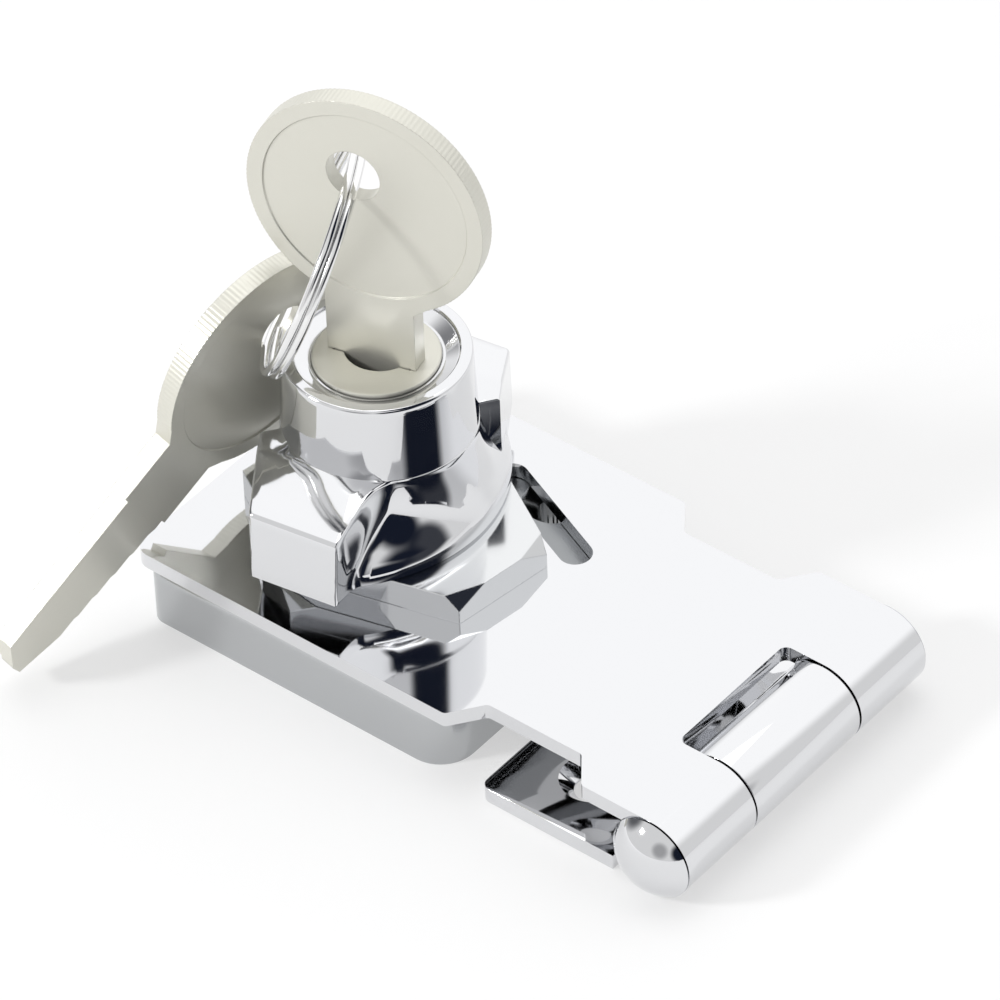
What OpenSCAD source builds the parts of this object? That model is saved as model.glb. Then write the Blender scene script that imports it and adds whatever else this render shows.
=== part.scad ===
// Keyed twist-knob hasp lock: a hinged leaf carries a lockable knob, whose tongue turns
// under the top plate of a screwed-down strike box.
// The origin lies under the knob's axis, on the face that the lock is screwed to.
// +Z points out of that face and +X runs along the leaf to the hinge.

/* [Leaf] */
// Thickness of both leaves
leaf_t = 1.6; // [1.4:0.1:1.8]
// Width of the leaf under the knob
leaf_w = 34.8; // [34.2:0.2:36]
// Width of the leaf and of the knuckles at the hinge
hinge_w = 34.5; // [33:0.5:36]
// Width of the leaf at its waist
waist_w = 28.3; // [27:0.5:30]
// Distance from the knob's axis to the leaf's free end
free_end = 15.35; // [15.1:0.05:16]
// Distance from the knob's axis to the hinge pin's axis
pivot_x = 44; // [43.5:0.5:46]
// Where the lock end of the leaf starts to narrow
lock_end_x = 21; // [20.6:0.1:21.4]
// Length of each slanted side between two widths
jog = 2.4; // [2:0.1:2.8]
// Where the leaf starts to widen again towards the hinge
waist_end_x = 33.9; // [33:0.1:35]
// Radius of the leaf's corners
corner_r = 1.8; // [1:0.1:2.4]

/* [Hinge] */
// Diameter of the hinge pin
pin_d = 5; // [4.8:0.1:5.2]
// Length of the middle knuckle
mid_knuckle = 14.9; // [14:0.1:16]
// Gap between neighbouring knuckles
knuckle_gap = 0.25; // [0.2:0.05:0.4]
// Height of the domed head of the pin
head_h = 2.3; // [1.8:0.1:2.6]
// Height of the riveted end of the pin
rivet_h = 1.3; // [1:0.1:1.6]
// Distance from the knob's axis to the inner edge of the fixed leaf
fixed_x = 24.7; // [24.2:0.1:25.5]
// Screws that hold the fixed leaf, centre to centre
hinge_screws = 21; // [20:0.5:22]

/* [Strike box] */
// Distance from the knob's axis to the box's left wall
box_left = 14.5; // [14.4:0.1:14.8]
// Distance from the knob's axis to the box's right wall
box_right = 20.6; // [20:0.1:21]
// Width of the box
box_w = 33.6; // [33:0.1:34]
// Wall and top plate of the box
box_t = 1.6; // [1.4:0.1:1.8]
// Gap between the box and the leaf above it
box_gap = 0.1; // [0.05:0.05:0.2]
// Width of the slot for the tongue
slot_w = 12.2; // [12:0.1:12.6]
// Length of the slot for the tongue
slot_len = 21.8; // [21.4:0.1:22.4]
// Screws along the leaf, centre to centre
screws_x = 20.4; // [20.2:0.1:20.6]
// Screws across the leaf, centre to centre
screws_y = 24; // [23.8:0.1:24.2]
// Radius of every screw hole
screw_r = 1.75; // [1.5:0.05:2]
// Radius of every countersink at its mouth
sink_r = 3.1; // [2.8:0.1:3.3]

/* [Collar] */
// Thickness of the six-sided collar on the leaf
collar_h = 2.9; // [2.8:0.1:3.2]
// Turn of the collar about the knob's axis
collar_turn = -8; // [-10:1:-6]
// Distance from the knob's axis to the collar's end towards the hinge
collar_end = 15.7; // [15.4:0.1:16]
// Half width of that end
collar_end_half = 5.4; // [5:0.1:5.8]
// Half width of the collar across its widest corners
collar_half = 11.9; // [11.7:0.1:12.1]
// Distance from the knob's axis to the collar's other end
collar_back = 10.9; // [10.7:0.1:11.2]

/* [Knob] */
// Turn of the knob about its axis, from wings square to the leaf
knob_turn = 9; // [6:1:14]
// Height of the knob's rim above the mounting face
rim_z = 27.9; // [27.5:0.1:28.5]
// Radius of the knob at its rim
rim_r = 8.65; // [8.5:0.05:8.8]
// Radius of the knob where the wings begin
barrel_r = 9; // [8.9:0.05:9.2]
// Half length of the skirt across the wings
skirt_r = 11; // [10.8:0.1:11.2]
// Radius of the skirt's flat sides in plan
skirt_arc = 16; // [15:0.5:18]
// Distance from the knob's axis to each wing's outer face
wing_l = 15.9; // [15.5:0.1:16.2]
// Width of each wing
wing_w = 8.8; // [8.4:0.1:9.2]
// Height of each wing's outer edge above the mounting face
wing_z = 18.2; // [17.8:0.1:18.6]
// Height of the wing's root above the mounting face
root_z = 20; // [19.8:0.1:20.4]
// Radius of the scoop between wing and skirt
scoop_r = 6; // [5:0.5:7]
// Radius of the knob's neck in the collar
neck_r = 8.2; // [8.1:0.05:8.25]
// Radius of the knob's spindle through the leaf
spindle_r = 6.65; // [6.6:0.05:6.7]
// Radius of the spindle through the strike box
stub_r = 5.1; // [5:0.1:5.3]

/* [Tongue] */
// Length of the tongue
tongue_l = 20; // [19.6:0.1:20.2]
// Width of the tongue
tongue_w = 6; // [5.8:0.1:6.2]
// Thickness of the tongue
tongue_t = 2; // [1.8:0.1:2.2]
// Gap between the tongue and the plate above it
tongue_gap = 0.4; // [0.3:0.05:0.5]

/* [Lock cylinder] */
// Outer radius of the lock cylinder
shell_r = 7.45; // [7.3:0.05:7.5]
// Radius of the plug
plug_r = 5.5; // [5.4:0.05:5.6]
// Radius of the plug's face
face_r = 5.85; // [5.8:0.05:5.95]
// Number of wafers
wafers = 5; // [4:1:5]
// Thickness of a wafer
wafer_t = 1.1; // [1:0.05:1.2]
// Distance between wafers
wafer_pitch = 2.5; // [2.3:0.1:2.6]
// Travel of a wafer into the cylinder's groove
wafer_lift = 0.8; // [0.7:0.05:0.9]
// Travel of the locking pin
pin_lift = 1.6; // [1.5:0.05:1.7]
// Turn of the plug from free to locked
plug_sweep = 36; // [32:1:40]
// Running clearance of every turning fit
play = 0.05; // [0.03:0.01:0.08]

/* [Keys] */
// Turn of the keyway from the leaf's length
key_turn = 14; // [12:1:16]
// Radius of the key's bow
bow_r = 11.45; // [11:0.05:11.8]
// Height of the bow's centre above the key's shoulder
bow_z = 17.4; // [17:0.1:17.8]
// Thickness of a key
key_t = 1.9; // [1.8:0.05:2]
// Width of the key's neck
neck_w = 8.7; // [8.5:0.1:9]
// Width of the key's blade
blade_w = 7.4; // [7.2:0.1:7.5]
// Length of the key's blade
blade_l = 18.4; // [18:0.1:18.6]
// Height of the ring hole above the bow's centre
eye_z = 3.2; // [3:0.1:3.4]
// Radius of the ring hole
eye_r = 2.6; // [2.5:0.05:2.7]
// Radius of the ring's wire
wire_r = 0.4; // [0.36:0.02:0.44]

/* [Hidden] */
$fn = 64;
// Small overrun that lets a cutter pass right through
over = 1;

// Heights of the leaf and of the pieces stacked on it
bore_r = pin_d / 2 + play;
knuckle_r = pin_d / 2 + play + leaf_t;
leaf_top = 2 * knuckle_r;
leaf_low = leaf_top - leaf_t;
collar_top = leaf_top + collar_h;
box_h = leaf_low - box_gap;
tongue_top = box_h - box_t - tongue_gap;
tongue_low = tongue_top - tongue_t;
knob_base = collar_top + play;

// Places of the inner pieces along the knob's axis
neck_low = leaf_top + 0.1;
plug_floor = leaf_top - 0.35;
face_z = rim_z - 0.5;
shell_low = plug_floor + 3.9;
first_wafer = shell_low + 2.8;
lock_pin_z = (neck_low + knob_base) / 2;
lock_pin_r = 0.95;
lock_head_r = 1.3;
dome_r = 1.9;
cam_low = 4;
cam_gap = 0.1;
wafer_half = 2.8;
spring_y = 1.8;
clip_t = 0.7;
clip_r = 7.5;
groove_r = 6.1;

// Places of the hanging pieces, and their turns about X, Y and Z
eye_x = -1;
spare_eye = [-10.26, -1.64, 26.58];
spare_turn = [16.1, 51.7, 95.5];
key_eye = [eye_x * cos(key_turn), eye_x * sin(key_turn), face_z + bow_z + eye_z];
// The ring's wire lies low in the key's hole and in the hanging key's
ring_way = (spare_eye - key_eye) / norm(spare_eye - key_eye);
ring_top = key_eye + ring_way * 1.22;
ring_end = spare_eye + ring_way * 0.39;
ring_centre = (ring_top + ring_end) / 2;
ring_r = norm(ring_end - ring_top) / 2;
ring_turn = 68.7;

function wafer_z(i) = first_wafer + (i - 1) * wafer_pitch;
// Depth of the cut in the key's edge, from the bow towards the tip
function cut_x(i) = 2.1 + 0.25 * i;

module y_cylinder(y0, y1, r) {
    translate([0, y1, 0]) rotate([90, 0, 0]) cylinder(h = y1 - y0, r = r);
}

module rounded(r) {
    offset(r = r, $fn = 24) offset(delta = -r) children();
}

module screw_hole(depth) {
    translate([0, 0, -over]) cylinder(h = depth + 2 * over, r = screw_r);
    translate([0, 0, depth - (sink_r - screw_r)])
        cylinder(h = sink_r - screw_r + 0.01, r1 = screw_r, r2 = sink_r + 0.01);
}

module strike_box() {
    color("silver") difference() {
        union() {
            difference() {
                box_block(0);
                box_block(box_t);
            }
            for (sx = [-1, 1], sy = [-1, 1])
                translate([sx * screws_x / 2, sy * screws_y / 2, 0])
                    cylinder(h = box_h - box_t / 2, r = sink_r + 0.4);
        }
        translate([-slot_w / 2, -slot_len / 2, -over]) cube([slot_w, slot_len, box_h + 2 * over]);
        for (sx = [-1, 1], sy = [-1, 1])
            translate([sx * screws_x / 2, sy * screws_y / 2, 0]) screw_hole(box_h);
    }
}

// The box's outer form, or its hollow where inset is the wall
module box_block(inset) {
    edge = 0.8;
    low = inset > 0 ? -over : 0;
    top = box_h - inset;
    hull() for (end = [[-box_left, corner_r], [box_right, 3.6]], sy = [-1, 1]) {
        r = end[1];
        x = end[0] + (end[0] > 0 ? -r : r);
        translate([x, sy * (box_w / 2 - r), low]) {
            cylinder(h = top - edge - low, r = r - inset * 0.9, $fn = 32);
            cylinder(h = top - edge * 0.3 - low, r = r - inset * 0.9 - edge * 0.3, $fn = 32);
            cylinder(h = top - low, r = max(0.1, r - inset * 0.9 - edge), $fn = 32);
        }
    }
}

// One leaf's rolled knuckle between two places along the pin
module knuckle(y0, y1) {
    translate([pivot_x, 0, knuckle_r]) y_cylinder(y0, y1, knuckle_r);
}

module pin_bore(r) {
    translate([pivot_x, 0, knuckle_r]) y_cylinder(-hinge_w, hinge_w, r);
}

module fixed_leaf() {
    clear_x = pivot_x - knuckle_r - knuckle_gap;
    color("silver") difference() {
        union() {
            linear_extrude(leaf_t) difference() {
                rounded(1) translate([fixed_x, -hinge_w / 2]) square([clear_x - fixed_x + over, hinge_w]);
                translate([clear_x, -hinge_w]) square(2 * hinge_w);
            }
            translate([clear_x - over, -mid_knuckle / 2, 0])
                cube([pivot_x - clear_x + over, mid_knuckle, leaf_t]);
            knuckle(-mid_knuckle / 2, mid_knuckle / 2);
        }
        pin_bore(pin_d / 2);
        translate([pivot_x - knuckle_r, -mid_knuckle, leaf_t])
            cube([leaf_t, 2 * mid_knuckle, 0.3]);
        for (sy = [-1, 1])
            translate([(fixed_x + clear_x) / 2, sy * hinge_screws / 2, 0]) screw_hole(leaf_t);
    }
}

// A shaft with a domed head at one end and a lower riveted dome at the other
module hinge_pin() {
    half = hinge_w / 2 + play;
    color("lightgray") translate([pivot_x, 0, knuckle_r]) rotate([90, 0, 0]) rotate_extrude()
        polygon(concat([[0, -half - rivet_h]], dome(knuckle_r - 0.15, rivet_h, -half, -1),
                       [[pin_d / 2, -half], [pin_d / 2, half]],
                       dome(knuckle_r, head_h, half, 1), [[0, half + head_h]]));
}

// Points of a cap of radius r and height h on the plane z, in the order round the profile
function dome(r, h, z, way) = let (ball = (r * r + h * h) / (2 * h), half = asin(r / ball))
    [for (i = [1:8]) let (a = way > 0 ? half * (8 - i + 0.5) / 8 : half * (i - 0.5) / 8)
        [ball * sin(a), z + way * (h - ball * (1 - cos(a)))]];

module leaf_plan() {
    rounded(0.6) polygon([for (side = [1, -1]) each let (row =
        [[-free_end, leaf_w / 2], [lock_end_x, leaf_w / 2], [lock_end_x + jog, waist_w / 2],
         [waist_end_x, waist_w / 2], [waist_end_x + jog, hinge_w / 2], [pivot_x + 3, hinge_w / 2]])
        [for (i = [0:5]) let (q = row[side > 0 ? i : 5 - i]) [q[0], side * q[1]]]]);
}

module hasp_leaf() {
    inner = mid_knuckle / 2 + knuckle_gap;
    color("silver") difference() {
        union() {
            translate([0, 0, leaf_low]) linear_extrude(leaf_t) difference() {
                intersection() {
                    leaf_plan();
                    rounded(corner_r) translate([-free_end, -leaf_w]) square([2 * pivot_x, 2 * leaf_w]);
                }
                translate([pivot_x, -hinge_w]) square(2 * hinge_w);
            }
            for (s = [0, 1]) mirror([0, s, 0]) knuckle(inner, hinge_w / 2);
        }
        pin_bore(bore_r);
        translate([pivot_x - knuckle_r - knuckle_gap, -inner, -over])
            cube([3 * knuckle_r, 2 * inner, leaf_top + 2 * over]);
        for (s = [0, 1]) mirror([0, s, 0])
            translate([pivot_x - knuckle_r, inner - over, leaf_low - 0.3])
                cube([leaf_t, hinge_w, 0.3]);
        translate([0, 0, leaf_low - over]) cylinder(h = leaf_t + 2 * over, r = neck_r + 0.15);
        side_slot();
    }
}

// The round-ended slot beside the collar
module side_slot() {
    a = [6, 10.9];
    b = [17.2, 6.1];
    r = 1.6;
    turn = atan2(b[1] - a[1], b[0] - a[0]);
    translate([a[0], a[1], leaf_low - over]) rotate([0, 0, turn]) {
        cylinder(h = leaf_t + 2 * over, r = r);
        translate([norm(b - a), 0, 0]) cylinder(h = leaf_t + 2 * over, r = r);
        translate([0, -r, 0]) cube([norm(b - a), 2 * r, leaf_t + 2 * over]);
    }
}

module collar_plan() {
    polygon([[collar_end, -collar_end_half], [collar_end, collar_end_half], [0, collar_half],
             [-collar_back, 7.4], [-collar_back, -7.4], [0, -collar_half]]);
}

module collar() {
    color("silver") difference() {
        union() {
            rotate([0, 0, collar_turn]) difference() {
                translate([0, 0, leaf_top]) linear_extrude(collar_h) collar_plan();
                for (q = [[collar_end, collar_end_half], [collar_end, -collar_end_half],
                          [0, collar_half], [0, -collar_half]])
                    collar_chamfer(q);
            }
            translate([0, 0, leaf_low]) cylinder(h = leaf_t + 0.5, r = neck_r + 0.1);
        }
        translate([0, 0, neck_low - play]) cylinder(h = collar_h + over, r = neck_r + play);
        translate([0, 0, leaf_low - over]) cylinder(h = leaf_t + 2 * over, r = spindle_r + play);
        translate([0, 0, leaf_low - over]) cylinder(h = clip_t + 0.15 + over, r = clip_r + 0.1);
        for (a = [0, -90]) rotate([0, 0, knob_turn - 90 + a])
            translate([neck_r - 1, 0, lock_pin_z]) rotate([0, 90, 0])
                cylinder(h = pin_lift + 1.2, r = lock_pin_r + 0.15);
    }
}

// A slanting cut that takes off one top corner of the collar
module collar_chamfer(q) {
    translate([q[0], q[1], collar_top - 1.5]) rotate([0, 0, atan2(q[1], q[0])])
        rotate([0, -35, 0]) translate([0, -10, 0]) cube([6, 20, 20]);
}

module knob_plan() {
    offset(r = -scoop_r, $fn = 48) offset(delta = scoop_r) union() {
        circle(r = barrel_r - 0.4);
        square([wing_w, 2 * wing_l], center = true);
        for (s = [0, 180]) rotate(s)
            polygon([[wing_w / 2, 0], [wing_w / 2, wing_l], [barrel_r - 0.6, 7], [barrel_r, 0]]);
    }
}

// The skirt in plan, a lens of two flat arcs
module skirt_plan() {
    intersection_for (s = [-1, 1])
        translate([s * (skirt_arc - skirt_r), 0]) circle(r = skirt_arc, $fn = 96);
}

module knob_shell() {
    chamber_low = plug_floor;
    color("silver") rotate([0, 0, knob_turn]) difference() {
        union() {
            translate([0, 0, knob_base]) cylinder(h = rim_z - 0.4 - knob_base, r1 = barrel_r + 0.3, r2 = rim_r);
            translate([0, 0, rim_z - 0.4]) cylinder(h = 0.4, r1 = rim_r, r2 = rim_r - 0.35);
            intersection() {
                translate([0, 0, knob_base]) linear_extrude(root_z - knob_base) knob_plan();
                rotate([90, 0, 90]) linear_extrude(4 * barrel_r, center = true)
                    polygon([[-wing_l, 0], [-wing_l, knob_base + 1], [-wing_l + 0.6, wing_z],
                             [-barrel_r, root_z], [barrel_r, root_z], [wing_l - 0.6, wing_z],
                             [wing_l, knob_base + 1], [wing_l, 0]]);
            }
            hull() {
                translate([0, 0, root_z - 0.5]) cylinder(h = 0.1, r = barrel_r - 0.7, $fn = 48);
                translate([0, 0, knob_base]) linear_extrude(1.2) skirt_plan();
            }
            translate([0, 0, neck_low]) cylinder(h = knob_base - neck_low + 0.5, r = neck_r);
            translate([0, 0, leaf_low - 0.1]) cylinder(h = leaf_t + 0.7, r = spindle_r);
            translate([0, 0, tongue_top]) cylinder(h = leaf_low, r = stub_r);
        }
        translate([0, 0, shell_low - play]) cylinder(h = rim_z, r = shell_r + 0.02);
        translate([0, 0, chamber_low]) cylinder(h = rim_z, r = plug_r + play);
        difference() {
            translate([0, 0, leaf_low]) cylinder(h = clip_t + 0.1, r = clip_r + over);
            translate([0, 0, leaf_low - over]) cylinder(h = clip_t + 2 * over, r = groove_r);
        }
        translate([0, 0, tongue_top - over]) cylinder(h = plug_floor - tongue_top - 0.9 + over, r = 1.6);
        rotate([0, 0, -90]) translate([0, 0, lock_pin_z]) rotate([0, 90, 0]) {
            cylinder(h = 2 * neck_r, r = lock_pin_r + play);
            cylinder(h = neck_r - 0.7, r = lock_head_r + play);
        }
    }
}

module lock_cylinder() {
    groove = wafer_lift + 0.25;
    top = wafer_z(wafers) + wafer_pitch / 2;
    low = first_wafer - wafer_pitch / 2;
    color("gainsboro") rotate([0, 0, key_turn]) difference() {
        rotate_extrude() polygon([[plug_r + play, shell_low], [shell_r, shell_low], [shell_r, face_z + 0.25],
            [face_r + 0.3, face_z - 0.35], [face_r + play, face_z - 0.35],
            [face_r + play, face_z - 0.8], [plug_r + play, face_z - 0.8]]);
        translate([0, 0, low]) linear_extrude(top - low) for (a = [180, 180 + plug_sweep]) rotate(a)
            translate([plug_r / 2, -wafer_half - 0.1]) square([plug_r / 2 + groove, 2 * wafer_half + 0.2]);
        translate([0, plug_r - over, shell_low + 1.2]) rotate([-90, 0, 0]) cylinder(h = 4, r = 0.72);
    }
}

// A cross pin in the cylinder's wall that runs in a groove of the plug
module plug_retainer() {
    color("gray") rotate([0, 0, key_turn]) translate([0, plug_r - 0.9, shell_low + 1.2])
        rotate([-90, 0, 0]) cylinder(h = shell_r - plug_r + 0.7, r = 0.7);
}

module circlip() {
    color("dimgray") rotate([0, 0, knob_turn]) translate([0, 0, leaf_low + 0.05]) difference() {
        cylinder(h = clip_t, r = clip_r);
        translate([0, 0, -over]) cylinder(h = clip_t + 2 * over, r = groove_r + 0.02);
        translate([0, -2, -over]) cube([2 * clip_r, 4, clip_t + 2 * over]);
    }
}

module tongue() {
    color("darkgray") rotate([0, 0, knob_turn]) difference() {
        translate([0, 0, tongue_low]) intersection() {
            cylinder(h = tongue_t, r = tongue_l / 2);
            translate([-tongue_w / 2, -tongue_l, 0]) cube([tongue_w, 2 * tongue_l, tongue_t]);
        }
        translate([0, 0, tongue_low - over]) cylinder(h = tongue_t + 2 * over, r = 1.7);
    }
}

module tongue_washer() {
    color("gray") translate([0, 0, tongue_low - 0.4]) difference() {
        cylinder(h = 0.4, r = 2.9);
        translate([0, 0, -over]) cylinder(h = 3, r = 1.7);
    }
}

module tongue_screw() {
    head_top = tongue_low - 0.4;
    color("gray") difference() {
        union() {
            translate([0, 0, head_top]) cylinder(h = plug_floor - 1 - head_top, r = 1.55);
            translate([0, 0, head_top - 1.3]) cylinder(h = 1.3, r1 = 2.2, r2 = 2.6);
        }
        for (a = [0, 90]) rotate([0, 0, a + knob_turn])
            translate([-1.5, -0.3, head_top - 1.3 - over]) cube([3, 0.6, 0.8 + over]);
    }
}

// Plug, turned with its keyway; the cam at its foot draws the locking pin in and out
module plug() {
    color("wheat") rotate([0, 0, key_turn]) difference() {
        union() {
            translate([0, 0, plug_floor + play]) cylinder(h = face_z - plug_floor - play, r = plug_r);
            translate([0, 0, face_z - 0.75]) cylinder(h = 0.55, r = face_r);
            translate([0, 0, face_z - 0.2]) cylinder(h = 0.2, r1 = face_r, r2 = face_r - 0.25);
        }
        translate([0, 0, face_z - blade_l - 0.2 + 10 + over])
            cube([blade_w + 0.3, key_t + 0.2, 20 + 2 * over], center = true);
        translate([0, -key_t / 2, face_z + 1.1]) rotate([0, 90, 0])
            cylinder(h = 5.6, r = 1.9, center = true);
        for (i = [1:wafers]) translate([-plug_r - over, -wafer_half - 0.05, wafer_z(i) - wafer_t / 2 - 0.05])
            cube([2 * plug_r + 2 * over, 2 * wafer_half + 0.1, wafer_t + 0.1]);
        translate([0, 0, shell_low + 1.2 - 0.8]) difference() {
            cylinder(h = 1.6, r = plug_r + over);
            translate([0, 0, -over]) cylinder(h = 4, r = plug_r - 1.1);
        }
        translate([0, 0, lock_pin_z - lock_head_r - 0.1])
            rotate([0, 0, knob_turn - key_turn]) linear_extrude(2 * lock_head_r + 0.2)
                polygon(cam_points());
    }
}

// How near the pin's domed end comes to the axis at a turn d from its middle
function dome_reach(d, pole) = let (c = pole + dome_r, s = c * sin(d))
    abs(d) < 60 && abs(s) < dome_r ? c * cos(d) - sqrt(dome_r * dome_r - s * s) : plug_r + over;
function cam_r(a) = min([for (p = [-0.06:0.04:1.06])
    dome_reach(a + p * plug_sweep, cam_low + pin_lift * p)]) - cam_gap;
function cam_points() = concat(
    [for (a = [-69:3:24]) let (r = min(cam_r(a), plug_r + over)) [r * sin(a), -r * cos(a)]],
    [for (a = [24:-15.5:-69]) [(plug_r + 2 * over) * sin(a), -(plug_r + 2 * over) * cos(a)]]);

// A wafer of the plug; its window takes the key's blade
module wafer(i) {
    color("goldenrod") rotate([0, 0, key_turn]) translate([0, 0, wafer_z(i) - wafer_t / 2])
        difference() {
            intersection() {
                cylinder(h = wafer_t, r = plug_r - 0.05);
                translate([-plug_r, -wafer_half, 0]) cube([2 * plug_r, 2 * wafer_half, wafer_t]);
            }
            translate([-blade_w / 2 - 0.25, -key_t / 2 - 0.15, -over])
                cube([blade_w / 2 + 0.35 + cut_x(i), key_t + 0.3, wafer_t + 2 * over]);
            translate([-plug_r + 0.9, spring_y - 0.36, -over]) cube([3.4, 0.72, wafer_t + 2 * over]);
        }
}

module wafer_1() { wafer(1); }
module wafer_2() { wafer(2); }
module wafer_3() { wafer(3); }
module wafer_4() { wafer(4); }
module wafer_5() { wafer(5); }

// One small spring in the pocket of each wafer
module wafer_springs() {
    color("gray") rotate([0, 0, key_turn]) for (i = [1:wafers]) translate([-plug_r + 1, spring_y, wafer_z(i)])
        rotate([0, 90, 0]) difference() {
            cylinder(h = 2.4, r = 0.34, $fn = 24);
            translate([0, 0, -over]) cylinder(h = 5, r = 0.2, $fn = 24);
        }
}

module locking_pin() {
    color("gray") rotate([0, 0, knob_turn - 90]) translate([cam_low, 0, lock_pin_z]) rotate([0, 90, 0])
        union() {
            intersection() {
                translate([0, 0, dome_r]) sphere(r = dome_r);
                cylinder(h = 0.95, r = lock_head_r);
            }
            cylinder(h = 4, r = lock_pin_r - 0.15);
            translate([0, 0, 0.9]) cylinder(h = 3.1, r = lock_pin_r);
        }
}

module pin_spring() {
    color("gray") rotate([0, 0, knob_turn - 90]) translate([cam_low + 0.96, 0, lock_pin_z]) rotate([0, 90, 0])
        difference() {
            cylinder(h = 0.7, r = lock_head_r - 0.02);
            translate([0, 0, -over]) cylinder(h = 4, r = lock_pin_r + 0.02);
        }
}

module blade_plan() {
    tip = blade_l - 1.6;
    polygon(concat([[-blade_w / 2, 0.2], [-blade_w / 2, -tip], [-0.8, -blade_l], [0.6, -blade_l]],
        [for (i = [1:wafers]) each let (z = wafer_z(i) - face_z, half = wafer_pitch / 2 - 0.25)
            [[cut_x(i), max(z - half, -tip)], [cut_x(i), z + half]]],
        [[blade_w / 2, wafer_z(wafers) - face_z + wafer_pitch / 2 + 0.6], [blade_w / 2, 0.2]]));
}

// A flat key with its shoulder at the origin and its blade pointing down
module key_blank() {
    difference() {
        union() {
            rotate([90, 0, 0]) linear_extrude(key_t, center = true) {
                offset(r = -1.5, $fn = 32) offset(delta = 1.5) union() {
                    translate([0, bow_z]) circle(r = bow_r, $fn = 96);
                    translate([-neck_w / 2, 0]) square([neck_w, bow_z]);
                }
                blade_plan();
            }
        }
        translate([eye_x, 0, bow_z + eye_z]) rotate([90, 0, 0])
            cylinder(h = 3 * key_t, r = eye_r, center = true);
        for (s = [-1, 1]) translate([0, s * (key_t / 2 + 0.35), bow_z]) rotate([90, 0, 0])
            cylinder(h = 1, r = bow_r - 1.5, center = true);
        for (s = [-1, 1]) translate([-1.6, s * (key_t / 2 + 0.15) - 0.5, -blade_l - over])
            cube([1.4, 1, blade_l + over - 0.5]);
    }
}

module key() {
    color("wheat") translate([0, 0, face_z]) rotate([0, 0, key_turn]) key_blank();
}

module spare_key() {
    color("wheat") translate(spare_eye) rotate(spare_turn)
        translate([-eye_x, 0, -bow_z - eye_z]) key_blank();
}

// Two turns of wire side by side, joined where they touch
module key_ring() {
    color("silver") translate(ring_centre)
        rotate([0, acos(ring_way[2]), atan2(ring_way[1], ring_way[0])])
        rotate([0, 0, ring_turn]) rotate([90, 0, 0]) difference() {
        for (s = [-1, 1]) translate([0, 0, s * wire_r * 0.95]) rotate_extrude()
            translate([ring_r, 0]) circle(r = wire_r, $fn = 24);
        rotate([0, 0, 70]) translate([ring_r, 0, wire_r * 1.2]) cube([2, 0.4, 2 * wire_r], center = true);
    }
}

strike_box();
fixed_leaf();
hinge_pin();
hasp_leaf();
collar();
knob_shell();
lock_cylinder();
plug_retainer();
circlip();
tongue();
tongue_washer();
tongue_screw();
plug();
wafer_1();
wafer_2();
wafer_3();
wafer_4();
wafer_5();
wafer_springs();
locking_pin();
pin_spring();
key();
key_ring();
spare_key();
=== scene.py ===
"""Dressed model of a keyed hasp lock: hinged leaf, winged knob, lock cylinder, keys and ring.

Every length in the classes is in millimetres and is turned into metres when a mesh is made.
"""

import logging
import math
from dataclasses import dataclass, field
from enum import Enum
from typing import Callable, Sequence

import bmesh
import bpy
from mathutils import Euler, Matrix, Vector


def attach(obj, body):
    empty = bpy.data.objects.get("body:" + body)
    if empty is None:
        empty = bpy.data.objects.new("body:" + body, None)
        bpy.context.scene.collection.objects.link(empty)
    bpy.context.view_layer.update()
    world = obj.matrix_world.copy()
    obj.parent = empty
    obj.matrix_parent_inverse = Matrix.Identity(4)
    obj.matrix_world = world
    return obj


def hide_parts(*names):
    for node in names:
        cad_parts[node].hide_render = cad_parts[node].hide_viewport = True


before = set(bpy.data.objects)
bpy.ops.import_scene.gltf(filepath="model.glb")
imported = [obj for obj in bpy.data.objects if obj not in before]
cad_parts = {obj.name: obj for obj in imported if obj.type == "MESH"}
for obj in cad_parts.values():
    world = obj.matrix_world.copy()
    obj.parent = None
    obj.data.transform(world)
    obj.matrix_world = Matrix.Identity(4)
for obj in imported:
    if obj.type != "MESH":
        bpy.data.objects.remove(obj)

LOG = logging.getLogger("hasp_lock")
MM = 0.001
TAU = 2 * math.pi
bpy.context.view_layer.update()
AXIS = 0.0005  # radius in place of 0 on a turned piece's axis, where the points merge
PAST = 1.0  # how far a cutter stands out of the face that it cuts
# Colour of the painted shade in the plug's keyway and hollow.
RECESS_SHADE = (0.02, 0.02, 0.022, 1.0)
WHITE = (1.0, 1.0, 1.0, 1.0)
DEEP_SHADE = (0.012, 0.016, 0.03, 1.0)

Point = tuple[float, float]
Point3 = tuple[float, float, float]


class Body(Enum):
    """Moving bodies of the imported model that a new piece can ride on."""

    BASE = "base"
    HASP = "hasp"
    KNOB = "knob"
    PLUG = "plug_body"
    PIN = "pin_body"
    KEY = "key_body"
    RING = "ring_body"
    SPARE = "spare_body"


class Slot(Enum):
    """Material slots of the record."""

    CHROME = "chrome"
    NICKEL = "nickel"
    RING = "ring_steel"
    STEEL = "steel"
    BRASS = "brass"


class Cut(Enum):
    """What other solids do to a piece."""

    AWAY = "DIFFERENCE"
    JOIN = "UNION"


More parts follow.
